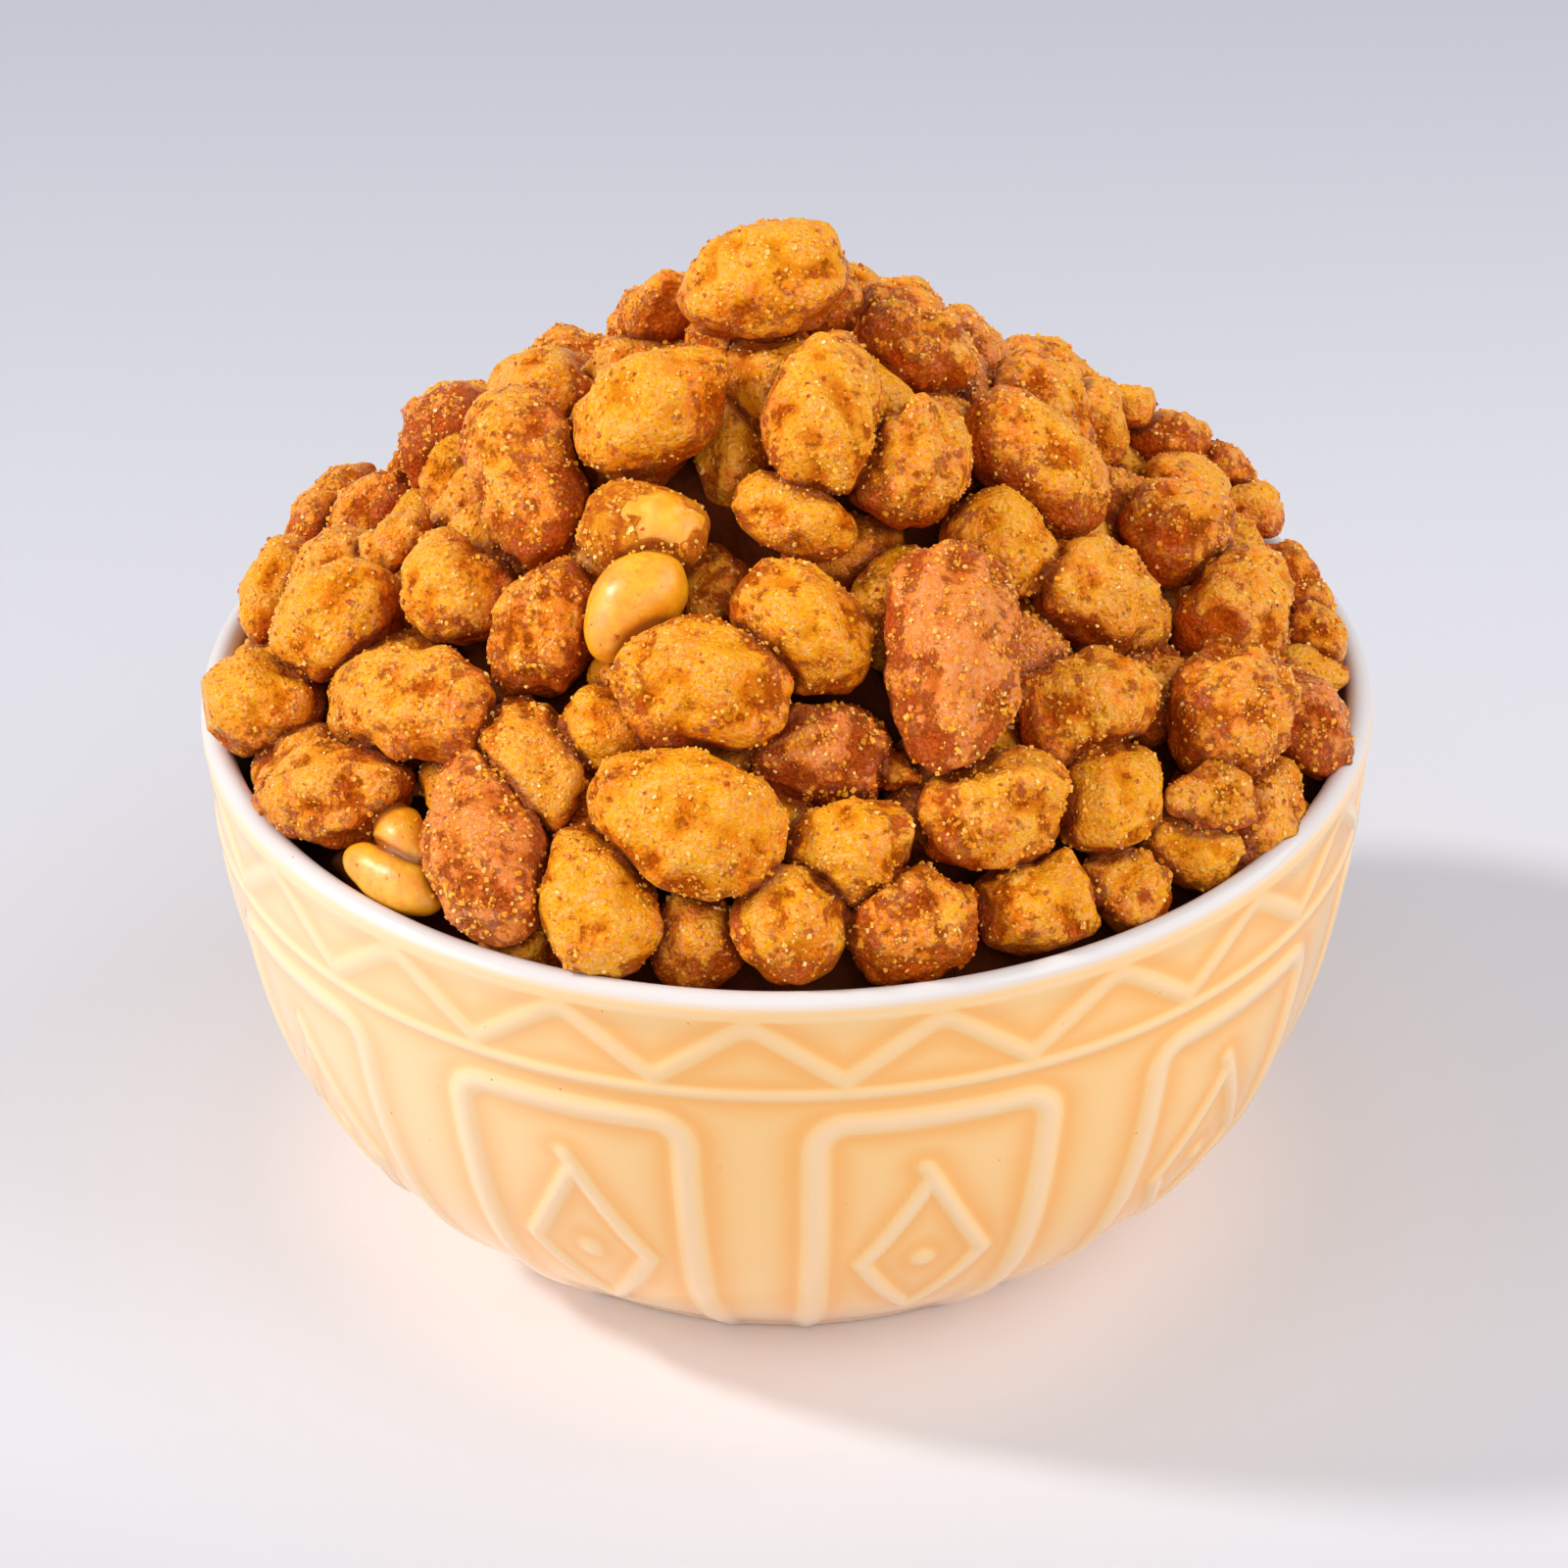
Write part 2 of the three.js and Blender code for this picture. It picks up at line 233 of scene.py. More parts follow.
def add_floor():
    shader = Shader("floor_paper")
    away = shader.tree.nodes.new("ShaderNodeVectorMath")
    away.operation = "LENGTH"
    shader.put(away.inputs[0], shader.place)
    # painted light and shade: darker to the back and the front, lighter round the foot
    back = shader.fade(shader.along("Y"), BACK_FADE)
    front = shader.fade(shader.along("Y"), FRONT_SHADE_FADE)
    bounce_light = shader.fade(away.outputs["Value"], BOUNCE_LIGHT_FADE)
    colour = shader.mix(back, FLOOR_NEAR, FLOOR_FAR)
    colour = shader.mix(front, colour, FLOOR_FRONT_SHADE)
    colour = shader.mix(bounce_light, colour, FLOOR_BOUNCE_LIGHT)
    material = shader.finish(Base_Color=colour, Roughness=0.75)
    corners = np.array([[-1, -1, 0], [1, -1, 0], [1, 1, 0], [-1, 1, 0]]) * FLOOR_HALF
    floor = add_piece("floor", corners, np.array([[0, 1, 2, 3]]), material)


add_floor()


# Light: a key lamp from the left about 40 degrees up, small enough to draw a clear
# shadow, a low broad one beside it, two from the front and the right that light the
# shadow, and an even room.
LAMPS = [
    # name, strength, elevation, bearing from the front to the right, spread, colour
    ("key", 1.75, 40, -95, 7, (1.0, 0.98, 0.96)),
    ("low", 1.2, 12, -75, 50, (1.0, 0.99, 0.98)),
    ("front", 0.72, 30, 18, 70, (1.0, 0.99, 0.98)),
    ("right", 1.35, 35, 82, 60, (1.0, 0.99, 0.98)),
]
ROOM_COLOUR = (0.95, 0.96, 1.0)
ROOM_STRENGTH = 0.54


def add_lamp(name, strength, elevation, bearing, spread, colour):
    lamp = bpy.data.lights.new(name, "SUN")
    lamp.energy = strength
    lamp.angle = math.radians(spread)
    lamp.color = colour
    holder = bpy.data.objects.new(name, lamp)
    holder.rotation_euler = (math.radians(90 - elevation), 0, math.radians(bearing))
    bpy.context.scene.collection.objects.link(holder)


def add_light():
    for lamp in LAMPS:
        add_lamp(*lamp)
    world = bpy.data.worlds.new("room")
    world.use_nodes = True
    sky = world.node_tree.nodes["Background"]
    sky.inputs["Color"].default_value = (*ROOM_COLOUR, 1)
    sky.inputs["Strength"].default_value = ROOM_STRENGTH
    bpy.context.scene.world = world
    bpy.context.scene.view_settings.view_transform = "Standard"


add_light()


# Bowl: thick white china, moulded outside with panels, diamonds, a ring and a zigzag,
# and dipped in amber glaze that runs thin over the ridges and pools beside them. It is
# one closed skin, wound from inside the floor over the lip and down under the foot.
RIM_RADIUS = 60
BOWL_HEIGHT = 57
FOOT_RADIUS = 35.6
BAND_TOP = 54.8
FOOT_FLARE = 40.6
FOOT_REACH = 14
RIM_LEAN = 2.9
RIM_REACH = 40.3
WALL = 3
FLOOR_HEIGHT = 4.85
FLOOR_RINGS = (8, 16)
FLOOR_ROUND = 2
FOOT_RING_INNER = 27.5
FOOT_ROUND = 0.5
FOOT_CORNER = 0.3
FOOT_LIFT = 0.15
FOOT_FADE = 0.8
FOOT_RECESS = 1.3
RECESS_RING = 14
BOWL_COLUMNS = 640
WALL_ROWS = 118
INNER_ROWS = 14
LIP_ROWS = 15
PROFILE_SAMPLES = 600
SINK = 0.5
PANELS = 10
PANEL_BEARING = 14.2
PANEL_HALF = 11.7
PANEL_TOP = 41.4
PANEL_CORNER = 3.4
PANEL_RIDGE = 2.1
DIAMOND_RADIUS = 54
DIAMOND_HALF = 6.6
DIAMOND_BOTTOM = 10
DIAMOND_MIDDLE = 20.5
DIAMOND_TOP = 33
DIAMOND_STEM = (-0.9, 1.7)
DIAMOND_RIDGE = 1.4
DOT_RADIUS = 1.9
DOT_SQUASH = 0.8
RING_HEIGHT = 45.3
RING_RIDGE = 1.0
ZIGZAG_RADIUS = 59.7
ZIGZAG_LOW = 46.5
ZIGZAG_HIGH = 53.8
ZIGZAG_HALF = 9
ZIGZAG_RIDGE = 1.6
ZIGZAG_ROUND = 0.9
POOLING = 2.2
BAND_START = 0.2
BAND_FADE = 2.4
LIP_MIDDLE = 58.62
LIP_SPRING = 55.35
LIP_INSIDE = 1
GLAZE_EDGE = (55.5, 56.3)
GLAZE_FADE = 0.3
# how deep the glaze lies, from 0 to 1: inside, on the lip and ridges, in hollows and pools
PLAIN_DEPTH = 0.12
LIP_DEPTH = 0.5
RIDGE_DEPTH = 0.08
HOLLOW_DEPTH = 0.5
POOL_DEPTH = 0.40
AMBER_FROM = (0.15, 0.75)
DEEP_AMBER_FROM = (0.66, 1.02)
CREAM = (0.95, 0.64, 0.36)
AMBER = (0.96, 0.60, 0.245)
DEEP_AMBER = (0.96, 0.47, 0.13)
CHINA_WHITE = (0.74, 0.69, 0.67)
FOOT_BOUNCE_PINK = (0.96, 0.74, 0.57)
FOOT_BOUNCE_FADE = (14, 0)
LIT_SIDE_GLAZE = (0.97, 0.80, 0.60)
LIT_SIDE_FADE = (-5, -55)
GLAZE_SPECK = (0.5, 0.2, 0.02)


def wall_profile():
    """Radius, height and way up the wall, from the foot to the lip."""
    flare, lean = math.radians(FOOT_FLARE), math.radians(RIM_LEAN)
    foot = np.array([FOOT_RADIUS, 0])
    rim = np.array([RIM_RADIUS, BAND_TOP])
    after_foot = foot + FOOT_REACH * np.array([math.cos(flare), math.sin(flare)])
    before_rim = rim - RIM_REACH * np.array([math.sin(lean), math.cos(lean)])
    t = np.linspace(0, 1, PROFILE_SAMPLES)[:, None]
    curve = (
        (1 - t) ** 3 * foot
        + 3 * (1 - t) ** 2 * t * after_foot
        + 3 * (1 - t) * t**2 * before_rim
        + t**3 * rim
    )
    steps = np.hypot(*np.diff(curve, axis=0).T)
    return curve[:, 0], curve[:, 1], np.concatenate([[0], np.cumsum(steps)])


PROFILE_RADIUS, PROFILE_HEIGHT, PROFILE_WAY = wall_profile()
PROFILE_LEAN = np.gradient(PROFILE_RADIUS, PROFILE_WAY)
PROFILE_RISE = np.gradient(PROFILE_HEIGHT, PROFILE_WAY)


def way_at(height):
    """How far up the wall's curve a height is."""
    return np.interp(height, PROFILE_HEIGHT, PROFILE_WAY)


def to_segment(x, y, start, end):
    """Distance from points to the segment between two ends."""
    run = np.stack([end[0] - start[0], end[1] - start[1]])
    along = ((x - start[0]) * run[0] + (y - start[1]) * run[1]) / (run**2).sum(axis=0)
    along = np.clip(along, 0, 1)
    return np.hypot(x - start[0] - along * run[0], y - start[1] - along * run[1])


def relief(bearing, way, radius):
    """Height of the ridges from 0 to 1, and how much glaze pools beside them."""
    pitch = 360 / PANELS
    off = (bearing - PANEL_BEARING + pitch / 2) % pitch - pitch / 2
    to_mm = np.radians(1) * radius
    across = np.abs(off) * to_mm
    half = PANEL_HALF * to_mm
    corner_x = across - half + PANEL_CORNER
    corner_y = way - way_at(PANEL_TOP) + PANEL_CORNER
    outside = np.hypot(np.maximum(corner_x, 0), np.maximum(corner_y, 0))
    panel = np.abs(
        outside + np.minimum(np.maximum(corner_x, corner_y), 0) - PANEL_CORNER
    )
    side = (DIAMOND_HALF * np.radians(1) * DIAMOND_RADIUS, way_at(DIAMOND_MIDDLE))
    top = (0, way_at(DIAMOND_TOP))
    diamond = np.minimum(
        to_segment(across, way, (0, way_at(DIAMOND_BOTTOM)), side),
        to_segment(across, way, side, top),
    )
    stem_end = (DIAMOND_STEM[0], top[1] + DIAMOND_STEM[1])
    stem = to_segment(off * to_mm, way, top, stem_end)
    dot = np.hypot(across, (way - side[1]) * DOT_SQUASH)
    ring = np.abs(way - way_at(RING_HEIGHT))
    tooth = np.abs((off + ZIGZAG_HALF) % (2 * ZIGZAG_HALF) - ZIGZAG_HALF) * to_mm
    foot = (ZIGZAG_HALF * np.radians(1) * ZIGZAG_RADIUS, way_at(ZIGZAG_LOW))
    tooth = np.hypot(tooth, ZIGZAG_ROUND) - ZIGZAG_ROUND / 2
    zigzag = to_segment(tooth, way, (0, way_at(ZIGZAG_HIGH)), foot)
    height = np.zeros_like(bearing)
    pool = np.zeros_like(bearing)
    # how far each kind of ridge is, its half width, and its share of the full height
    for distance, width, share in (
        (panel, PANEL_RIDGE, 1.0),
        (diamond, DIAMOND_RIDGE, 1.0),
        (stem, DIAMOND_RIDGE, 0.8),
        (dot, DOT_RADIUS, 0.8),
        (ring, RING_RIDGE, 0.9),
        (zigzag, ZIGZAG_RIDGE, 0.7),
    ):
        bell = 0.5 + 0.5 * np.cos(np.pi * np.minimum(distance / width, 1))
        height = np.maximum(height, share * bell)
        pool = np.maximum(pool, np.exp(-(np.maximum(distance - width, 0) / POOLING)))
    return height, pool * (1 - height)


def ring_points(radius, height, bearings):
    """Points at these bearings, on a circle round the axis."""
    angle = np.radians(bearings)
    return np.stack(
        [radius * np.sin(angle), -radius * np.cos(angle), height + 0 * angle], axis=-1
    )


def inner_profile():
    """Radius and height of the wall's inside, from its foot up to the lip."""
    radius = PROFILE_RADIUS - WALL * PROFILE_RISE
    height = PROFILE_HEIGHT + WALL * PROFILE_LEAN
    keep = (height > FLOOR_HEIGHT) & (height < LIP_SPRING - LIP_INSIDE)
    picked = np.linspace(0, keep.sum() - 1, INNER_ROWS).astype(int)
    return radius[keep][picked], height[keep][picked]


def bowl_skin():
    """Rings of points from the middle of the floor, over the lip, to under the foot."""
    bearings = np.arange(BOWL_COLUMNS) * 360 / BOWL_COLUMNS
    rows, depths, whites = [], [], []

    def add_plain(radius, height, white=1.0, depth=PLAIN_DEPTH):
        rows.append(ring_points(radius, height, bearings))
        depths.append(np.full(BOWL_COLUMNS, depth))
        whites.append(np.full(BOWL_COLUMNS, white))

    inner_radius, inner_height = inner_profile()
    for radius in (*FLOOR_RINGS, inner_radius[0] - FLOOR_ROUND):
        add_plain(radius, FLOOR_HEIGHT)
    for radius, height in zip(inner_radius, inner_height):
        add_plain(radius, height)
    for angle in np.radians(np.linspace(180, 0, LIP_ROWS)):
        height = LIP_SPRING + (BOWL_HEIGHT - LIP_SPRING) * math.sin(angle)
        radius = LIP_MIDDLE + (RIM_RADIUS - LIP_MIDDLE) * math.cos(angle)
        outside = angle < math.pi / 2
        white = np.interp(height, GLAZE_EDGE, (0, 1)) if outside else 1.0
        add_plain(radius, height, white, LIP_DEPTH)
    for way in np.linspace(PROFILE_WAY[-1], 0, WALL_ROWS):
        radius = np.interp(way, PROFILE_WAY, PROFILE_RADIUS)
        height = np.interp(way, PROFILE_WAY, PROFILE_HEIGHT)
        lean = np.interp(way, PROFILE_WAY, PROFILE_LEAN)
        lift, pool = relief(bearings, way, radius)
        below_lip = np.clip((PROFILE_WAY[-1] - way - BAND_START) / BAND_FADE, 0, 1)
        above_foot = np.clip(way / FOOT_FADE, 0, 1)
        sink = SINK * below_lip * (0.5 + 0.5 * above_foot) * (1 - lift)
        height = np.maximum(height + sink * lean, FOOT_LIFT)
        rows.append(ring_points(radius - sink * math.sqrt(1 - lean**2), height, bearings))
        glazed = min((PROFILE_WAY[-1] - way) / GLAZE_FADE, 1)
        hollow = HOLLOW_DEPTH * (1 - lift) * glazed
        depths.append(hollow + POOL_DEPTH * pool + RIDGE_DEPTH)
        whites.append(np.zeros(BOWL_COLUMNS))
    for radius, height in (
        (FOOT_RADIUS - FOOT_ROUND, 0),
        (FOOT_RING_INNER + FOOT_ROUND, 0),
        (FOOT_RING_INNER, FOOT_CORNER),
        (FOOT_RING_INNER - FOOT_ROUND, FOOT_RECESS),
        (RECESS_RING, FOOT_RECESS),
    ):
        add_plain(radius, height)
    return np.array(rows), np.array(depths), np.array(whites)


def skin_faces(rows, columns):
    """Triangles of a skin of rings, closed by one point before and one after them."""
    grid = np.arange(rows * columns).reshape(rows, columns)
    after = np.roll(grid, -1, axis=1)
    quads = np.stack([grid[:-1], grid[1:], after[1:], after[:-1]], axis=-1).reshape(-1, 4)
    first, last = np.full(columns, grid.size), np.full(columns, grid.size + 1)
    return np.concatenate(
        [
            quads[:, [0, 1, 2]],
            quads[:, [0, 2, 3]],
            np.stack([grid[0], after[0], first], axis=-1),
            np.stack([after[-1], grid[-1], last], axis=-1),
        ]
    )


def glaze_material():
    """Glaze by its depth, with a few specks; painted bounce light makes the foot pinker and
    painted light makes the left side paler.
    """
    shader = Shader("glaze")
    depth = shader.plus(shader.value("glaze_depth"), shader.times(shader.noise(9), 0.1))
    coloured = shader.mix(shader.ramp(depth, *AMBER_FROM), CREAM, AMBER)
    coloured = shader.mix(shader.ramp(depth, *DEEP_AMBER_FROM), coloured, DEEP_AMBER)
    # painted bounce light from the floor: pinker low on the wall
    low = shader.fade(shader.along("Z"), FOOT_BOUNCE_FADE)
    coloured = shader.lay(coloured, FOOT_BOUNCE_PINK, low, 0.6)
    # painted light: paler on the left, the side the key lamp comes from
    lit_left = shader.fade(shader.along("X"), LIT_SIDE_FADE)
    coloured = shader.lay(coloured, LIT_SIDE_GLAZE, lit_left, 0.38)
    colour = shader.mix(shader.value("white"), coloured, CHINA_WHITE)
    speck = shader.ramp(shader.cells(4.2), 0.036, 0.02)
    return shader.finish(
        Base_Color=shader.lay(colour, GLAZE_SPECK, speck, 0.8),
        Roughness=shader.plus(0.1, shader.times(shader.noise(20), 0.08)),
        Normal=shader.bump(shader.noise(6, detail=1), 0.05),
        IOR=1.5,
    )


def add_bowl():
    rows, depths, whites = bowl_skin()
    middles = [[0, 0, FLOOR_HEIGHT], [0, 0, FOOT_RECESS]]
    points = np.concatenate([rows.reshape(-1, 3), middles])
    values = {
        "glaze_depth": np.append(depths.ravel(), [0.5, 0.5]),
        "white": np.append(whites.ravel(), [1.0, 1.0]),
    }
    faces = skin_faces(len(rows), BOWL_COLUMNS)
    bowl = add_piece("bowl_glazed", points, faces, glaze_material(), values)
    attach(bowl, "root")
    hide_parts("bowl")


add_bowl()


# Heap: peanuts that lie loose, piled on a cone high above the rim. Here each one gets
# its place, size and coat: those seen in front are set one by one, the back is strewn
# by a rule, and a deeper layer fills the gaps.
HEAP_TOP = 50.8
HEAP_SLOPE = 0.88
HEAP_TIP = 9
NUT_THICKNESS = 0.9
SEED = 26
TRIES = 1500
BACK_BEARINGS = (88, 272)
OUTERMOST = 53.5
NUT_LENGTH = (13, 19)
NUT_WIDTH = (0.66, 0.9)
NUT_RISE = (-0.5, 2)
CROWDING = 0.88
NUT_TURN = (-90, 90)
NUT_TIP = (-15, 15)
COAT_SPREAD = 37
STREWN_COATS = ("golden", "orange", "golden", "brown", "orange", "red")
FILL_TRIES = 2600
FILL_DEPTH = (-6, -3.5)
FILL_CROWDING = 0.62
FRONT_HALF = 105
FRONT_STEPS = 22
BACK_STEPS = 12
DEEP_STEPS = 10

# bearing, radius, height above the rim, length, width, turn up the slope, tip, and the
# coat, with the form where it is not the usual one
FRONT_NUTS = [
    # round the top
    (-41, 3, 46, 17, 13, 50, 0, "golden smooth"),
    (-100, 4, 38, 13, 10, 70, 0, "orange"),
    (154, 8, 40, 13, 8, -30, 45, "orange smooth"),
    (-131, 17, 35, 12, 8, -80, -25, "golden"),
    (-47, 18, 37, 16, 12, 65, 0, "golden pointed"),
    (13, 16, 38, 18, 12, 70, 0, "orange smooth"),
    (95, 13, 36, 14, 11, -75, 5, "brown knobby"),
    (128, 25, 27, 12, 8, -10, 45, "red"),
    (38, 20, 33, 15, 12, 20, 0, "orange knobby"),
    (3, 22, 31, 13, 8, -30, 0, "golden smooth"),
    (-33, 25, 29, 14, 10, 5, 0, "half"),
    (-27, 32, 25, 13, 9, 75, 0, "bare"),
    (3, 32, 24, 15, 12, -45, 0, "golden smooth"),
    # left side
    (-127, 30, 23, 14, 10, -5, 25, "golden"),
    (-69, 27, 28, 22, 13, -20, -15, "orange waisted"),
    (-106, 35, 16, 13, 8, 0, -35, "golden"),
    (-126, 47, 10, 9, 6, -5, 10, "orange"),
    (-118, 54, 5, 15, 8, -10, -5, "orange"),
    (-115, 47, 8, 14, 9, -75, 0, "brown"),
    (-86, 39, 17, 10, 7, 70, -5, "orange"),
    (-64, 36, 19, 13, 11, 20, -15, "orange smooth"),
    (-99, 53, 5, 13, 9, -20, -10, "golden"),
    (-76, 46, 13, 15, 13, 65, 0, "golden smooth"),
    (-75, 54, 5, 15, 11, 35, -25, "golden"),
    (-53, 45, 13, 18, 12, 20, -5, "orange waisted"),
    (-43, 34, 20, 14, 11, -90, 0, "brown knobby"),
    (-57, 53, 4, 18, 11, 25, -10, "brown"),
    (-34, 51.5, 6.1, 20, 13, -50, 0, "red smooth"),
    (-34, 43, 11, 16, 11, -35, 0, "brown"),
    (-46, 52, 3, 11, 6, -25, 0, "bare"),
    (-44, 55, 1, 13, 6, 0, -5, "bare"),
    # middle
    (-12, 38, 21, 18, 13, -10, 0, "golden knobby"),
    (-26, 39, 15, 12, 9, 5, 0, "golden"),
    (5, 39, 14, 15, 11, -5, 0, "red"),
    (14, 41, 13, 6, 5, -40, 0, "brown knobby"),
    (-11, 48, 12, 20, 14, -20, 0, "golden smooth"),
    (7, 48, 9, 12, 11, -5, 0, "golden knobby"),
    (25, 37, 22, 24, 14, 70, 0, "red smooth"),
    (-20, 52.5, 4.1, 15, 12, 125, 0, "golden pointed"),
    (0, 52.5, 4.1, 12, 12, 90, 0, "golden"),
    (13, 52.5, 3.1, 14, 11, 0, 0, "brown"),
    (27, 52.5, 2.1, 13, 10, -25, 0, "golden knobby"),
    # right side
    (25, 47, 10, 16, 12, 5, 0, "orange knobby"),
    (40, 48, 8, 14, 11, 35, 0, "golden smooth"),
    (43, 42, 14, 15, 12, 0, 5, "orange"),
    (58, 35, 20, 14, 11, -35, 5, "brown"),
    (50, 28, 25, 14, 10, -80, 0, "golden smooth"),
    (72, 26, 29, 16, 12, 75, 0, "orange knobby"),
    (119, 36, 18, 13, 9, 0, 35, "orange"),
    (127, 34, 23, 8, 5, 5, -25, "golden"),
    (124, 42, 18, 9, 6, 85, -25, "golden"),
    (122, 47, 12, 12, 9, 85, -25, "orange"),
    (119, 53, 9, 10, 6, 80, 0, "orange"),
    (85, 39, 18, 13, 11, -55, 20, "brown knobby"),
    (114, 53, 6, 9, 7, -85, 25, "orange"),
    (78, 46, 12, 16, 12, 0, 25, "orange"),
    (100, 53, 4, 13, 8, 20, 0, "orange"),
    (91, 54, 2, 11, 7, 20, 15, "brown"),
    (61, 50, 9, 15, 13, 5, 15, "brown knobby"),
    (73, 54, 3, 13, 10, -85, 0, "red"),
    (48, 52.8, 1.5, 14, 9, -35, 0, "golden"),
    (38, 52.8, 0.5, 11, 9, -40, 0, "orange"),
    (50, 54, 6, 11, 7, -20, 10, "brown flake"),
]

# Nuts low in the gaps between those in front
GAP_NUTS = [
    (-25, 11, 32, 13, 9, -70, 0, "brown"),
    (-18, 23, 22, 10, 8, -75, 0, "brown"),
    (18, 20, 25, 13, 8, -10, 0, "brown"),
    (-28, 53, -2, 10, 8, 15, 0, "brown"),
    (-10, 51, 1, 11, 9, -80, 0, "brown"),
    (61, 41, 10, 13, 9, 35, 0, "brown"),
    (112, 37, 13, 9, 7, -80, 25, "brown"),
    (81, 30, 18, 11, 7, -55, 15, "golden"),
    (86, 52, 1, 11, 8, -60, 20, "golden"),
    (87, 38, 8, 11, 8, 15, 20, "brown"),
    (70, 51, -9, 11, 8, -45, 15, "brown"),
]


def random_from(seed):
    """A rule that draws the same numbers between 0 and 1 for the same seed."""
    state = seed

    def draw():
        nonlocal state
        state = (state + 0x6D2B79F5) & 0xFFFFFFFF
        mixed = ((state ^ (state >> 15)) * (1 | state)) & 0xFFFFFFFF
        mixed ^= (mixed + ((mixed ^ (mixed >> 7)) * (61 | mixed))) & 0xFFFFFFFF
        return ((mixed ^ (mixed >> 14)) & 0xFFFFFFFF) / 2**32

    return draw


def between(ends, share):
    return ends[0] + (ends[1] - ends[0]) * share


def heap_height(radius):
    """Height of the cone over the rim."""
    return HEAP_TOP - HEAP_SLOPE * np.hypot(radius, HEAP_TIP)


def place_nut(bearing, radius, rise, length, width, turn, tip, coat):
    """A nut's middle and axes: it lies on the slope, turned up it and tipped out."""
    angle = math.radians(bearing)
    fall = HEAP_SLOPE * radius / math.hypot(radius, HEAP_TIP)
    out = np.array([fall * math.sin(angle), -fall * math.cos(angle), 1])
    out /= np.linalg.norm(out)
    level = np.array([math.cos(angle), math.sin(angle), 0])
    up = np.cross(out, level)
    turn, tip = math.radians(turn), math.radians(tip)
    along = math.cos(turn) * level + math.sin(turn) * up
    along = math.cos(tip) * along + math.sin(tip) * out
    across = np.cross(out, along)
    across /= np.linalg.norm(across)
    middle = np.array(
        [radius * math.sin(angle), -radius * math.cos(angle), BOWL_HEIGHT + rise]
    )
    return {
        "middle": middle,
        "axes": np.array([across, along, -np.cross(along, across)]),
        "half": np.array([width, length, NUT_THICKNESS * width]) / 2,
        "reach": (length + width) / 4,
        "coat": coat.split()[0],
        "form": coat.split()[-1],
        "bearing": (bearing + 180) % 360 - 180,
        "out": out,
    }


def strew(placed, tries, bearings, rises, crowding, draw):
    """Adds nuts at random places on the slope where no other is too near."""
    for _ in range(tries):
        bearing = between(bearings, draw())
        radius = OUTERMOST * math.sqrt(draw())
        rise = heap_height(radius) + between(rises, draw())
        length = between(NUT_LENGTH, draw())
        width = length * between(NUT_WIDTH, draw())
        turn = between(NUT_TURN, draw())
        tip = between(NUT_TIP, draw())
        coat = STREWN_COATS[int(length * COAT_SPREAD + turn) % len(STREWN_COATS)]
        nut = place_nut(bearing, radius, rise, length, width, turn, tip, coat)
        near = [
            np.linalg.norm(nut["middle"] - other["middle"])
            < crowding * (nut["reach"] + other["reach"])
            for other in placed
        ]
        if not any(near):
            placed.append(nut)


def lay_heap():
    draw = random_from(SEED)
    nuts = [place_nut(*row) for row in FRONT_NUTS]
    strew(nuts, TRIES, BACK_BEARINGS, NUT_RISE, CROWDING, draw)
    shown = len(nuts)
    nuts += [place_nut(*row) for row in GAP_NUTS]
    strew(nuts, FILL_TRIES, (0, 360), FILL_DEPTH, FILL_CROWDING, draw)
    for index, nut in enumerate(nuts):
        outer_steps = FRONT_STEPS if abs(nut["bearing"]) < FRONT_HALF else BACK_STEPS
        nut["steps"] = outer_steps if index < shown else DEEP_STEPS
        nut["seed"] = index
    return nuts


HEAP = lay_heap()


# Core: the nuts deep in the heap, of which only dark lumps show in the gaps. They are
# one lumpy body, which fills the bowl to just under the nuts that lie on it, and its
# near-black brown is painted shade.
CORE_DEPTH = 6.5
CORE_COLUMNS = 120
CORE_TOP_ROWS = 30
CORE_TOP_RADII = (1.5, 50)
CORE_SIDE_ROWS = 12
CORE_SIDE_HEIGHTS = (46, 8)
CORE_SIDE_GAP = 0.6
CORE_BASE = 7
CORE_MIDDLE = (0, 0, 40)
CORE_SEED = 5
CORE_LUMPS = 1.2
CORE_LUMP_WAVES = (5, 12, 24)
CORE_MOST_OUT = 0.3
CORE_SHADE_DARK = (0.05, 0.010, 0.002)
CORE_SHADE_BROWN = (0.17, 0.035, 0.004)
WALL_GAP = 0.25
LIP_GAP = 0.12
LIP_ZONE = 0.4
EDGE_GAP = 0.15
TOP_GAP = 0.05


def waves(points, shortest, longest, count, rng):
    """Smooth random noise of about unit size, with waves between two lengths."""
    directions = rng.normal(size=(count, 3))
    directions /= np.linalg.norm(directions, axis=1)[:, None]
    lengths = np.exp(rng.uniform(math.log(shortest), math.log(longest), count))
    phases = rng.uniform(0, 2 * np.pi, count)
    angles = points @ (directions * (2 * np.pi / lengths)[:, None]).T + phases
    return np.sin(angles).sum(axis=1) * math.sqrt(2 / count)


def inside_radius(height):
    """How far out the heap may reach at a height: to the bowl's inner wall."""
    radius, wall_height = inner_profile()
    return np.interp(height, wall_height, radius)


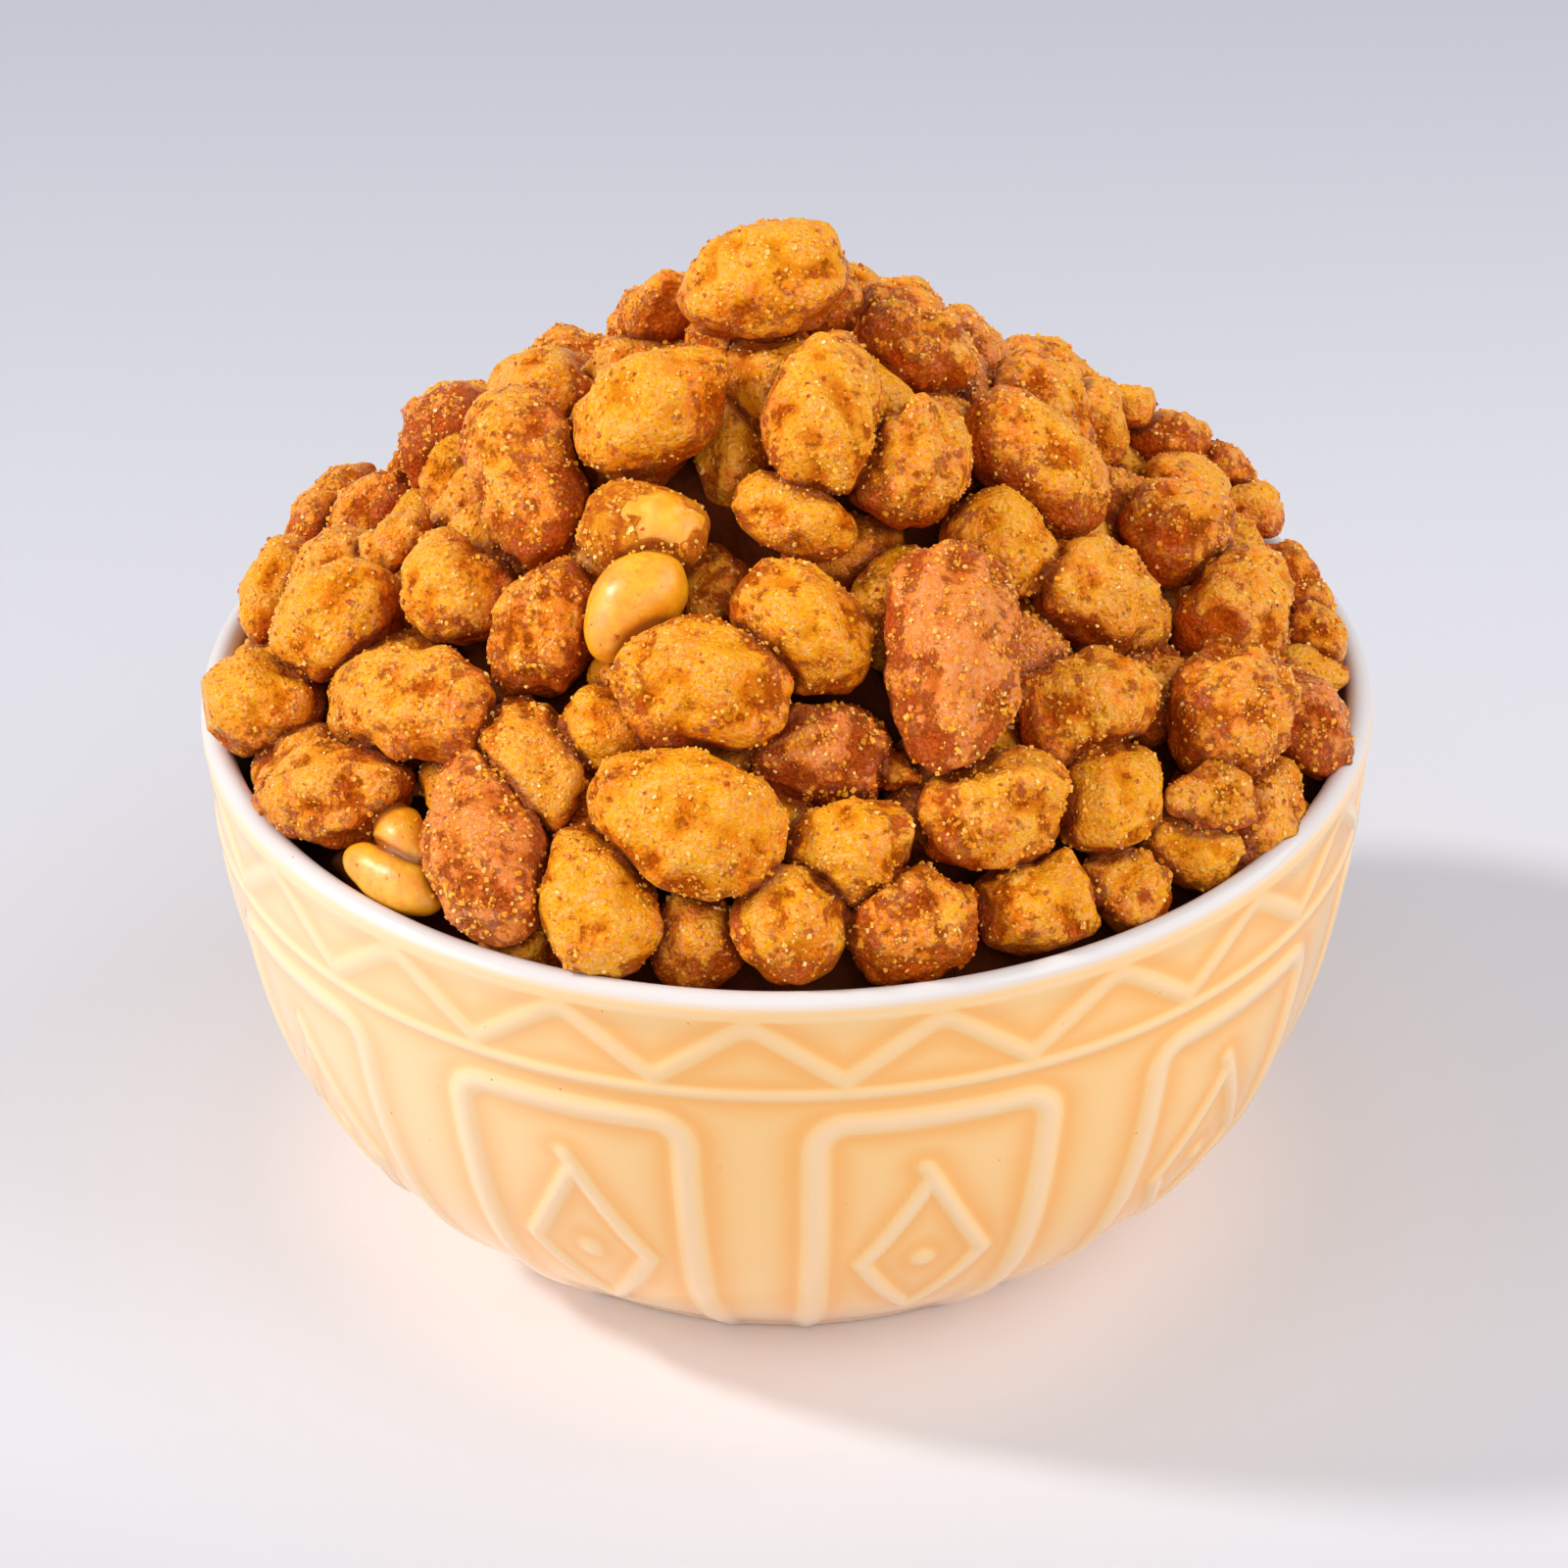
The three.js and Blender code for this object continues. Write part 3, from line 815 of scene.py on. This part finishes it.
def keep_clear(points):
    """Moves points that would enter the bowl to just inside its wall or over its lip."""
    radius = np.hypot(points[:, 0], points[:, 1])
    limit = inside_radius(points[:, 2]) - WALL_GAP
    over = np.clip((radius - LIP_MIDDLE) / (RIM_RADIUS - LIP_MIDDLE), -1, 1)
    lip = LIP_SPRING + (BOWL_HEIGHT - LIP_SPRING) * np.sqrt(1 - over**2) + LIP_GAP
    deep = (radius > limit) & (points[:, 2] < lip)
    lifted = deep & (points[:, 2] > LIP_SPRING + LIP_ZONE)
    points[lifted, 2] = lip[lifted]
    scale = np.where(deep & ~lifted, limit / np.maximum(radius, 1e-6), 1)
    edge = (RIM_RADIUS - EDGE_GAP) / np.maximum(radius * scale, 1e-6)
    points[:, :2] *= np.minimum(np.minimum(scale, edge), 1)[:, None]
    points[:, 2] = np.minimum(points[:, 2], cad_box[1][2] / MM - TOP_GAP)
    return points


def add_core():
    rng = np.random.default_rng(CORE_SEED)
    bearings = np.arange(CORE_COLUMNS) * 360 / CORE_COLUMNS
    rows = [
        ring_points(radius, BOWL_HEIGHT + heap_height(radius) - CORE_DEPTH, bearings)
        for radius in np.linspace(*CORE_TOP_RADII, CORE_TOP_ROWS)
    ]
    rows += [
        ring_points(float(inside_radius(height)) - CORE_SIDE_GAP, height, bearings)
        for height in np.linspace(*CORE_SIDE_HEIGHTS, CORE_SIDE_ROWS)
    ]
    points = np.array(rows).reshape(-1, 3)
    lumps = CORE_LUMPS * waves(points, *CORE_LUMP_WAVES, rng)
    outward = points - np.array(CORE_MIDDLE)
    outward /= np.linalg.norm(outward, axis=1)[:, None]
    points = points + np.minimum(lumps, CORE_MOST_OUT)[:, None] * outward
    peak = BOWL_HEIGHT + heap_height(0) - CORE_DEPTH
    points = np.concatenate([points, [[0, 0, peak], [0, 0, CORE_BASE]]])
    faces = skin_faces(len(rows), CORE_COLUMNS)
    # painted shade: the deep nuts are near-black brown, not the colour of their coats
    shader = Shader("heap_core")
    material = shader.finish(
        Base_Color=shader.mix(shader.noise(3), CORE_SHADE_DARK, CORE_SHADE_BROWN),
        Roughness=0.8,
        Specular_IOR_Level=0.1,
        Normal=shader.bump(shader.noise(1.2), 0.6),
    )
    core = add_piece("heap_core", keep_clear(points), faces, material)
    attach(core, "root")
    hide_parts("peanuts")


add_core()


# Coated nuts: roasted peanuts, each in a baked crust of flour, oil and ground spice,
# golden to red-brown. Each is a soft many-sided ball drawn out along its length, with
# knobs, hollows and a grainy crust, and all of one coat are one piece.
COATS = {
    # height of the lumps in mm, mean tone from light to dark, and how thick grains lie
    "golden": dict(lumps=0.22, tone=0.18, dust=0.8),
    "orange": dict(lumps=0.30, tone=0.28, dust=1.0),
    "brown": dict(lumps=0.34, tone=0.33, dust=1.1),
    "red": dict(lumps=0.18, tone=0.35, dust=1.6),
    "half": dict(lumps=0.16, tone=0.4, dust=1.8),
    "bare": dict(lumps=0.05, tone=0.1, dust=0.12),
}
FORMS = {
    # share of the flat sides that shows, number and height of knobs, thickness
    "usual": dict(facets=0.9, knobs=(0, 2), height=(0.04, 0.10), thick=1),
    "smooth": dict(facets=0.6, knobs=(0, 0), height=(0, 0), thick=1),
    "knobby": dict(facets=0.8, knobs=(3, 6), height=(0.10, 0.20), thick=1),
    "pointed": dict(facets=0.7, knobs=(0, 0), height=(0, 0), thick=1),
    "waisted": dict(facets=0.6, knobs=(0, 1), height=(0.04, 0.08), thick=1),
    "flake": dict(facets=1.0, knobs=(2, 3), height=(0.1, 0.3), thick=0.22),
    "half": dict(facets=0.3, knobs=(0, 0), height=(0, 0), thick=1),
    "bare": dict(facets=0.15, knobs=(0, 0), height=(0, 0), thick=1),
}
NUT_SEED = 1000
NUT_SIDES = 12
NUT_EDGES = 8
SIDE_SHAKE = 0.16
SIDE_REACH = (0.9, 1.06)
MOST_SIDE = 0.13
EGG = (-0.14, 0.14)
KNOB_WIDTH = (9, 17)
POINT_HEIGHT = 0.2
POINT_WIDTH = 26
WAIST = 0.12
WAIST_WIDTH = 0.3
# shortest and longest wave in mm, and how many
LUMP_WAVES = (3.2, 8, 18)
PIT_WAVES = (1.6, 3.2, 26)
GROOVE_WAVES = (1.5, 3.5, 24)
LUMP_SHARE = 0.75
PIT_SHARE = 0.42
PIT_MOST = 0.8
GROOVE_DEPTH = 0.13
GROOVE_STRETCH = 0.15
FULL_LUMP = 2.2
DUST_WAVES = (3, 7, 12)
DUST_DEPTH = 6
DUST_UNDER = 0.4
DUST_MEAN = 0.75
DUST_WAVE = 0.6
DUST_RANGE = (0.1, 2)
TONE_SPREAD = 0.16
UNDERSIDE_SHADE = 0.55
FACING_UP = 0.6
WINDOW_FACING = (0.30, -0.55, 0.78)
WINDOW_HALF = (32, 46)
WINDOW_DEPTH = 0.35
WINDOW_WAVES = (0.25, 0.8, 18)
WINDOW_RAGGED = 5
CREVICE_REACH = 1.0
CREVICE_DEPTH = 0.5
CREVICE_SEARCH = 2
FAR_OFF = 9.0
# light ground, middle patches and dark hollows of each coat, and how softly they meet
COAT_COLOURS = {
    "golden": ((0.95, 0.42, 0.007), (0.89, 0.22, 0.003), (0.50, 0.065, 0.003), 0.12),
    "orange": ((0.95, 0.43, 0.014), (0.89, 0.215, 0.005), (0.50, 0.06, 0.003), 0.12),
    "brown": ((0.95, 0.42, 0.016), (0.89, 0.215, 0.006), (0.44, 0.05, 0.003), 0.12),
    "red": ((0.89, 0.31, 0.040), (0.82, 0.19, 0.020), (0.45, 0.06, 0.006), 0.2),
}
PAINTED_GLINT = (1.0, 0.68, 0.22)
CONTACT_SHADE = (0.30, 0.04, 0.003)


def cube_ball(steps):
    """Directions over a ball from the six faces of a cube, and its square faces."""
    edge = np.tan(np.linspace(-1, 1, steps + 1) * math.pi / 4)
    u, v = np.meshgrid(edge, edge, indexing="ij")
    one = np.ones_like(u)
    sides = [
        (one, u, v),
        (-one, v, u),
        (v, one, u),
        (u, -one, v),
        (u, v, one),
        (v, u, -one),
    ]
    points = np.concatenate([np.stack(side, axis=-1).reshape(-1, 3) for side in sides])
    grid = np.arange((steps + 1) ** 2).reshape(steps + 1, steps + 1)
    square = np.stack(
        [grid[:-1, :-1], grid[1:, :-1], grid[1:, 1:], grid[:-1, 1:]], axis=-1
    ).reshape(-1, 4)
    quads = np.concatenate([square + side * grid.size for side in range(6)])
    points /= np.linalg.norm(points, axis=1)[:, None]
    _, first, same = np.unique(
        np.round(points, 5), axis=0, return_index=True, return_inverse=True
    )
    return points[first], same.reshape(-1)[quads]


BALLS = {steps: cube_ball(steps) for steps in (DEEP_STEPS, BACK_STEPS, FRONT_STEPS)}


def scattered_directions(count, rng):
    """Directions spread evenly over a ball, turned and shaken at random."""
    index = np.arange(count) + 0.5
    polar = np.arccos(1 - 2 * index / count)
    turn = math.pi * (1 + 5**0.5) * index
    points = np.stack(
        [np.cos(turn) * np.sin(polar), np.sin(turn) * np.sin(polar), np.cos(polar)],
        axis=-1,
    )
    turned, _ = np.linalg.qr(rng.normal(size=(3, 3)))
    points = points @ turned + rng.normal(scale=SIDE_SHAKE, size=points.shape)
    return points / np.linalg.norm(points, axis=1)[:, None]


def bare_window(facing, rng):
    """1 on the patch of a half-coated nut where the coat has broken off, else 0."""
    middle = np.array(WINDOW_FACING) / np.linalg.norm(WINDOW_FACING)
    ragged = WINDOW_RAGGED * waves(facing, *WINDOW_WAVES, rng)
    angle = np.degrees(np.arccos(np.clip(facing @ middle, -1, 1))) + ragged
    return np.clip((WINDOW_HALF[1] - angle) / (WINDOW_HALF[1] - WINDOW_HALF[0]), 0, 1)


def crevice(points, nut):
    """How near each point is to another nut: 0 in the open and 1 where they touch."""
    nearest = np.full(len(points), FAR_OFF)
    for other in HEAP:
        apart = np.linalg.norm(other["middle"] - nut["middle"])
        reach = nut["half"].max() + other["half"].max() + CREVICE_SEARCH
        if other is nut or apart > reach:
            continue
        local = (points - other["middle"]) @ other["axes"].T / other["half"]
        distance = (np.linalg.norm(local, axis=1) - 1) * other["half"].mean()
        nearest = np.minimum(nearest, distance)
    return np.exp(-np.maximum(nearest, 0) / CREVICE_REACH)


def nut_form(nut, form, directions, rng):
    """A nut's points in millimetres along its own axes, before its crust."""
    sides = scattered_directions(NUT_SIDES, rng)
    facing = np.maximum(directions @ sides.T, 0) / rng.uniform(*SIDE_REACH, NUT_SIDES)
    size = (facing**NUT_EDGES).sum(axis=1) ** (-1 / NUT_EDGES)
    size = 1 + form["facets"] * MOST_SIDE * np.tanh((size / size.mean() - 1) / MOST_SIDE)
    for _ in range(rng.integers(form["knobs"][0], form["knobs"][1] + 1)):
        knob = scattered_directions(1, rng)[0]
        away = np.degrees(np.arccos(np.clip(directions @ knob, -1, 1)))
        height = rng.uniform(*form["height"])
        size += height * np.exp(-((away / rng.uniform(*KNOB_WIDTH)) ** 2))
    if nut["form"] == "pointed":
        away = np.degrees(np.arccos(np.clip(directions[:, 1], -1, 1)))
        size += POINT_HEIGHT * np.exp(-((away / POINT_WIDTH) ** 2))
    if nut["form"] == "waisted":
        size -= WAIST * np.exp(-((directions[:, 1] / WAIST_WIDTH) ** 2))
    stretch = nut["half"] * np.ones((len(directions), 1))
    stretch[:, ::2] *= 1 + rng.uniform(*EGG) * directions[:, 1:2]
    stretch[:, 2] *= form["thick"]
    return directions * stretch * size[:, None]


def crust_height(nut, local, rng):
    """Lumps and pits of the crust in millimetres, with grooves on a red one."""
    lumps = waves(local, *LUMP_WAVES, rng)
    pits = waves(local, *PIT_WAVES, rng)
    height = LUMP_SHARE * lumps + PIT_SHARE * np.minimum(pits, PIT_MOST)
    height = COATS[nut["coat"]]["lumps"] * height
    if nut["coat"] == "red":
        lengthwise = local * np.array([1, GROOVE_STRETCH, 1])
        height += GROOVE_DEPTH * waves(lengthwise, *GROOVE_WAVES, rng)
    return height


def nut_surface(nut):
    """A nut's points, faces, and the values that its coat is painted by."""
    look = COATS[nut["coat"]]
    form = FORMS.get(nut["form"], FORMS["usual"])
    rng = np.random.default_rng(NUT_SEED + nut["seed"])
    directions, quads = BALLS[nut["steps"]]
    local = nut_form(nut, form, directions, rng)
    height = crust_height(nut, local, rng)
    facing = directions @ nut["axes"]
    upward = facing @ nut["out"]
    tone = look["tone"] + rng.uniform(-TONE_SPREAD, TONE_SPREAD)
    # painted shade: the tone grows where a side faces away from the heap's outside, so
    # undersides are darker
    tone = tone + UNDERSIDE_SHADE * (FACING_UP - upward)
    if nut["coat"] == "bare":
        tone[:] = look["tone"]
    dust = np.full(len(directions), float(look["dust"]))
    if nut["coat"] == "half":
        bare = bare_window(facing, rng)
        height -= WINDOW_DEPTH * bare
        tone = 1 - bare
        dust *= 1 - bare
    stands_out = np.clip(height / (FULL_LUMP * look["lumps"]), -1, 1)
    touching = crevice(nut["middle"] + local @ nut["axes"], nut)
    height -= CREVICE_DEPTH * touching
    local += directions * height[:, None]
    points = nut["middle"] + local @ nut["axes"]
    radius = np.hypot(points[:, 0], points[:, 1])
    depth = BOWL_HEIGHT + heap_height(radius) - points[:, 2]
    dust *= np.clip((DUST_DEPTH - depth) / DUST_DEPTH, 0, 1)
    dust *= np.clip(DUST_UNDER + upward, 0, 1)
    patches = DUST_MEAN + DUST_WAVE * waves(local, *DUST_WAVES, rng)
    dust *= np.clip(patches, *DUST_RANGE)
    values = {"tone": tone, "stands_out": stands_out, "dust": dust, "crevice": touching}
    return keep_clear(points), quads, values


def coat_material(name, light, middle, dark, soft):
    """A baked, spiced crust, painted by its tone and height and by noise, with painted shade
    where nuts touch and painted glints.
    """
    shader = Shader(name)
    tone = shader.value("tone")
    stands_out = shader.value("stands_out")
    broad = shader.noise(3.4, detail=8, roughness=0.78)
    fine = shader.noise(0.9, detail=4, roughness=0.65)
    sandy = shader.noise(0.4, detail=2)
    # patches and smudges grow with the tone, which holds painted shade on undersides, and
    # shrink on what stands out
    lean = shader.math("SUBTRACT", shader.times(tone, 0.32), 0.08)
    lean = shader.math("SUBTRACT", lean, shader.times(stands_out, 0.08))
    patch = shader.ramp(shader.plus(broad, lean), 0.5 - soft, 0.5 + soft)
    colour = shader.mix(patch, light, middle)
    smudge = shader.noise(1.9, detail=6, roughness=0.75)
    smudge = shader.plus(smudge, shader.times(broad, 0.5))
    smudge = shader.ramp(shader.plus(smudge, lean), 0.77, 0.89)
    colour = shader.lay(colour, dark, smudge, 0.9)
    colour = shader.lay(colour, dark, shader.ramp(stands_out, -0.1, -0.9), 0.5)
    colour = shader.lay(colour, middle, shader.ramp(sandy, 0.42, 0.62), 0.45)
    colour = shader.lay(colour, dark, shader.ramp(shader.cells(2.2), 0.10, 0.05), 0.35)
    # painted highlight: small bright glints
    colour = shader.lay(colour, PAINTED_GLINT, shader.ramp(shader.cells(1.1), 0.16, 0.08), 0.6)
    # painted shade where the nut touches another
    contact_shade = shader.ramp(shader.value("crevice"), 0.25, 1.0)
    colour = shader.lay(colour, CONTACT_SHADE, contact_shade, 0.85)
    # the fine relief: wrinkles, broad dents, small domes and sand, sunk where smudged
    domes = shader.ramp(shader.cells(0.65), 0.5, 0.1)
    height = shader.plus(shader.times(fine, 0.75), shader.noise(2.2, detail=2))
    height = shader.plus(height, shader.times(domes, 0.25))
    height = shader.plus(height, shader.times(sandy, 0.4))
    height = shader.math("SUBTRACT", height, shader.times(smudge, 0.5))
    # oil shines in spots, on what stands out and faces up
    shine = shader.ramp(shader.noise(0.5, detail=2), 0.38, 0.62)
    shine = shader.times(shine, shader.ramp(stands_out, -0.7, 0.3))
    shine = shader.times(shine, shader.ramp(tone, 0.9, 0.3))
    return shader.finish(
        Base_Color=colour,
        Roughness=shader.plus(0.22, shader.times(fine, 0.25)),
        Specular_IOR_Level=shader.plus(0.04, shader.times(shine, 0.96)),
        Subsurface_Weight=0.4,
        Subsurface_Scale=1.5 * MM,
        Normal=shader.bump(height, 0.6),
    )


def joined(points, faces):
    """The points and faces of many meshes as those of one."""
    starts = np.cumsum([0] + [len(each) for each in points[:-1]])
    shifted = [each + start for each, start in zip(faces, starts)]
    return np.concatenate(points), np.concatenate(shifted)


def add_nuts(name, coats, material):
    """All nuts of these coats as one piece."""
    made = [nut_surface(nut) for nut in HEAP if nut["coat"] in coats]
    points, quads, values = zip(*made)
    points, faces = joined(points, quads)
    values = {key: np.concatenate([each[key] for each in values]) for key in values[0]}
    piece = add_piece(name, points, faces, material, values)
    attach(piece, "root")
    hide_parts("peanuts")
    return piece


coated_nuts = [
    add_nuts("nuts_" + coat, (coat,), coat_material(coat + "_coat", *colours))
    for coat, colours in COAT_COLOURS.items()
]


# Bare kernels: peanuts that lost their crust, smooth, pale yellow and glossy with oil
# and a film of spice, and one that still has its crust on half of it. They are shaped
# like the coated nuts and lie loose among them.
KERNEL_YELLOW = (0.93, 0.45, 0.007)
KERNEL_ORANGE = (0.91, 0.335, 0.005)
KERNEL_WINDOW_HIGHLIGHT = (0.94, 0.58, 0.10)
KERNEL_FILM = (0.88, 0.22, 0.006)
KERNEL_CONTACT_SHADE = (0.3, 0.06, 0.006)
CRUST_LIGHT = (0.96, 0.36, 0.018)
CRUST_DARK = (0.58, 0.12, 0.009)


def kernel_material():
    """Bare where the tone is low, 0.1 on a whole kernel and 0 in a window, else crust."""
    shader = Shader("bare_kernel")
    tone = shader.value("tone")
    cloud = shader.ramp(shader.noise(2.6, detail=4), 0.35, 0.7)
    colour = shader.mix(cloud, KERNEL_YELLOW, KERNEL_ORANGE)
    # painted highlight: pale whitish patches on the bare window of the half-coated nut
    pale = shader.ramp(shader.noise(1.7, detail=4), 0.44, 0.7)
    pale = shader.times(pale, shader.ramp(tone, 0.08, 0.02))
    colour = shader.lay(colour, KERNEL_WINDOW_HIGHLIGHT, pale, 0.7)
    film = shader.ramp(shader.noise(1.5, detail=6, roughness=0.7), 0.46, 0.62)
    film = shader.times(film, shader.ramp(tone, 0.02, 0.1))
    colour = shader.lay(colour, KERNEL_FILM, film, 0.5)
    edge = shader.plus(tone, shader.noise(1.0, detail=6, roughness=0.7))
    crusted = shader.ramp(edge, 0.75, 1.05)
    crust = shader.ramp(shader.noise(2.2, detail=8, roughness=0.78), 0.38, 0.60)
    colour = shader.mix(crusted, colour, shader.mix(crust, CRUST_LIGHT, CRUST_DARK))
    # painted shade where the kernel touches another nut
    contact_shade = shader.ramp(shader.value("crevice"), 0.3, 1.0)
    rough = shader.times(shader.noise(0.6, detail=5, roughness=0.7), crusted)
    height = shader.plus(rough, shader.times(shader.noise(0.5), 0.15))
    return shader.finish(
        Base_Color=shader.lay(colour, KERNEL_CONTACT_SHADE, contact_shade, 0.8),
        Roughness=shader.plus(0.38, shader.times(crusted, 0.25)),
        Specular_IOR_Level=shader.times(shader.ramp(crusted, 1.4, -0.4), 0.3),
        Coat_Weight=shader.times(shader.ramp(crusted, 0.4, 0), 0.95),
        Coat_Roughness=0.34,
        Normal=shader.bump(height, 0.6),
        Subsurface_Weight=0.35,
        Subsurface_Scale=1.5 * MM,
    )


bare_nuts = add_nuts("kernels_bare", ("bare", "half"), kernel_material())


# Spice grains: salt and coarsely ground spice that cling to the oily crust. They are
# small angular blocks, strewn over the nuts by Geometry Nodes, thicker where a coat
# carries more dust, and then made plain mesh.
GRAINS_PER_MM2 = 0.8
MM2_PER_M2 = 1e6
SMALLEST_GRAIN = 0.3
SMALL_ONES = 2.2
GRAIN_SHAPE = ((0.6, 0.6, 0.4), (1.2, 1.2, 1.0))
FULL_TURN = 6.28
GRAIN_RIM_GAP = 0.3
GRAIN_EDGE_GAP = 0.2
GRAIN_WALL_GAP = 0.4
GRAIN_TOP_GAP = 0.02
LOWEST_GRAIN = 40
# name, light, dark, roughness, size in mm, seed, share of the grains
GRAINS = [
    ("grains_golden", (0.95, 0.46, 0.020), (0.88, 0.27, 0.008), 0.33, 0.56, 3, 1.0),
    ("grains_pale", (0.98, 0.64, 0.19), (0.95, 0.50, 0.07), 0.22, 0.44, 4, 0.44),
    ("grains_dark", (0.70, 0.17, 0.008), (0.42, 0.07, 0.005), 0.5, 0.50, 8, 0.35),
]


def grain_tree(name, material):
    """The tree that strews grains on a mesh, and its inputs' identifiers by name."""
    tree = bpy.data.node_groups.new(name, "GeometryNodeTree")
    inputs = {}
    for label, kind in (
        ("Geometry", "NodeSocketGeometry"),
        ("Grain Size", "NodeSocketFloat"),
        ("Smallest Share", "NodeSocketFloat"),
        ("Density", "NodeSocketFloat"),
        ("Seed", "NodeSocketInt"),
    ):
        socket = tree.interface.new_socket(label, in_out="INPUT", socket_type=kind)
        inputs[label] = socket.identifier
    tree.interface.new_socket("Geometry", in_out="OUTPUT", socket_type="NodeSocketGeometry")
    nodes, link = tree.nodes, tree.links.new
    source = nodes.new("NodeGroupInput")
    dust = nodes.new("GeometryNodeInputNamedAttribute")
    dust.inputs["Name"].default_value = "dust"
    amount = nodes.new("ShaderNodeMath")
    amount.operation = "MULTIPLY"
    link(source.outputs["Density"], amount.inputs[0])
    link(dust.outputs["Attribute"], amount.inputs[1])
    spread = nodes.new("GeometryNodeDistributePointsOnFaces")
    link(source.outputs["Geometry"], spread.inputs["Mesh"])
    link(amount.outputs[0], spread.inputs["Density"])
    link(source.outputs["Seed"], spread.inputs["Seed"])
    grain = nodes.new("GeometryNodeMeshCube")
    link(source.outputs["Grain Size"], grain.inputs["Size"])
    shape = nodes.new("FunctionNodeRandomValue")
    shape.data_type = "FLOAT_VECTOR"
    shape.inputs["Min"].default_value = GRAIN_SHAPE[0]
    shape.inputs["Max"].default_value = GRAIN_SHAPE[1]
    chance = nodes.new("FunctionNodeRandomValue")
    chance.inputs["Seed"].default_value = 1
    small = nodes.new("ShaderNodeMath")
    small.operation = "POWER"
    link(chance.outputs[1], small.inputs[0])
    small.inputs[1].default_value = SMALL_ONES
    overall = nodes.new("ShaderNodeMapRange")
    link(small.outputs[0], overall.inputs["Value"])
    link(source.outputs["Smallest Share"], overall.inputs["To Min"])
    size = nodes.new("ShaderNodeVectorMath")
    size.operation = "SCALE"
    link(shape.outputs["Value"], size.inputs[0])
    link(overall.outputs["Result"], size.inputs["Scale"])
    turn = nodes.new("FunctionNodeRandomValue")
    turn.data_type = "FLOAT_VECTOR"
    turn.inputs["Max"].default_value = (FULL_TURN, FULL_TURN, FULL_TURN)
    copies = nodes.new("GeometryNodeInstanceOnPoints")
    link(spread.outputs["Points"], copies.inputs["Points"])
    link(grain.outputs["Mesh"], copies.inputs["Instance"])
    link(size.outputs["Vector"], copies.inputs["Scale"])
    link(turn.outputs["Value"], copies.inputs["Rotation"])
    real = nodes.new("GeometryNodeRealizeInstances")
    link(copies.outputs["Instances"], real.inputs["Geometry"])
    paint = nodes.new("GeometryNodeSetMaterial")
    paint.inputs["Material"].default_value = material
    link(real.outputs["Geometry"], paint.inputs["Geometry"])
    out = nodes.new("NodeGroupOutput")
    link(paint.outputs["Geometry"], out.inputs[0])
    return tree, inputs


def grown_mesh(host, tree, settings):
    """Points in millimetres and square faces of what the tree grows on a piece's copy."""
    maker = bpy.data.objects.new("grain_maker", host.data.copy())
    bpy.context.scene.collection.objects.link(maker)
    modifier = maker.modifiers.new("grains", "NODES")
    modifier.node_group = tree
    for identifier, value in settings.items():
        modifier[identifier] = value
    graph = bpy.context.evaluated_depsgraph_get()
    mesh = bpy.data.meshes.new_from_object(maker.evaluated_get(graph))
    points = np.empty(len(mesh.vertices) * 3, np.float32)
    mesh.vertices.foreach_get("co", points)
    corners = np.empty(len(mesh.loops), np.int32)
    mesh.loops.foreach_get("vertex_index", corners)
    maker.modifiers.remove(modifier)
    bpy.data.objects.remove(maker)
    return points.reshape(-1, 3) / MM, corners.reshape(-1, 4)


def clear_of_bowl(points):
    """Which grains lie over the rim or inside the wall, and below the heap's top."""
    grain = points.reshape(-1, 8, 3)
    height = grain[:, :, 2]
    radius = np.hypot(points[:, 0], points[:, 1]).reshape(-1, 8).max(axis=1)
    lowest = height.min(axis=1)
    over_rim = (lowest > BOWL_HEIGHT + GRAIN_RIM_GAP) & (radius < RIM_RADIUS - GRAIN_EDGE_GAP)
    inside = radius < inside_radius(height.mean(axis=1)) - GRAIN_WALL_GAP
    below_top = height.max(axis=1) < cad_box[1][2] / MM - GRAIN_TOP_GAP
    return (over_rim | (lowest > LOWEST_GRAIN) & inside) & below_top


def strew_grains(name, hosts, material, size_mm, seed, density):
    """Grains over copies of the hosts' meshes, as one plain mesh piece."""
    tree, inputs = grain_tree(name, material)
    settings = {
        inputs["Grain Size"]: size_mm * MM,
        inputs["Smallest Share"]: SMALLEST_GRAIN,
        inputs["Density"]: density,
        inputs["Seed"]: seed,
    }
    points, faces = joined(*zip(*[grown_mesh(host, tree, settings) for host in hosts]))
    faces = faces[np.repeat(clear_of_bowl(points), 6)]
    used, faces = np.unique(faces, return_inverse=True)
    grains = add_piece(name, points[used], faces.reshape(-1, 4), material, smooth=False)
    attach(grains, "root")
    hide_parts("peanuts")


def grain_material(name, light, dark, roughness):
    shader = Shader(name)
    colour = shader.mix(shader.ramp(shader.noise(0.8), 0.35, 0.65), light, dark)
    return shader.finish(Base_Color=colour, Roughness=roughness)


for name, light, dark, roughness, size_mm, seed, share in GRAINS:
    strew_grains(
        name,
        (*coated_nuts, bare_nuts),
        grain_material(name + "_surface", light, dark, roughness),
        size_mm,
        seed,
        share * GRAINS_PER_MM2 * MM2_PER_M2,
    )
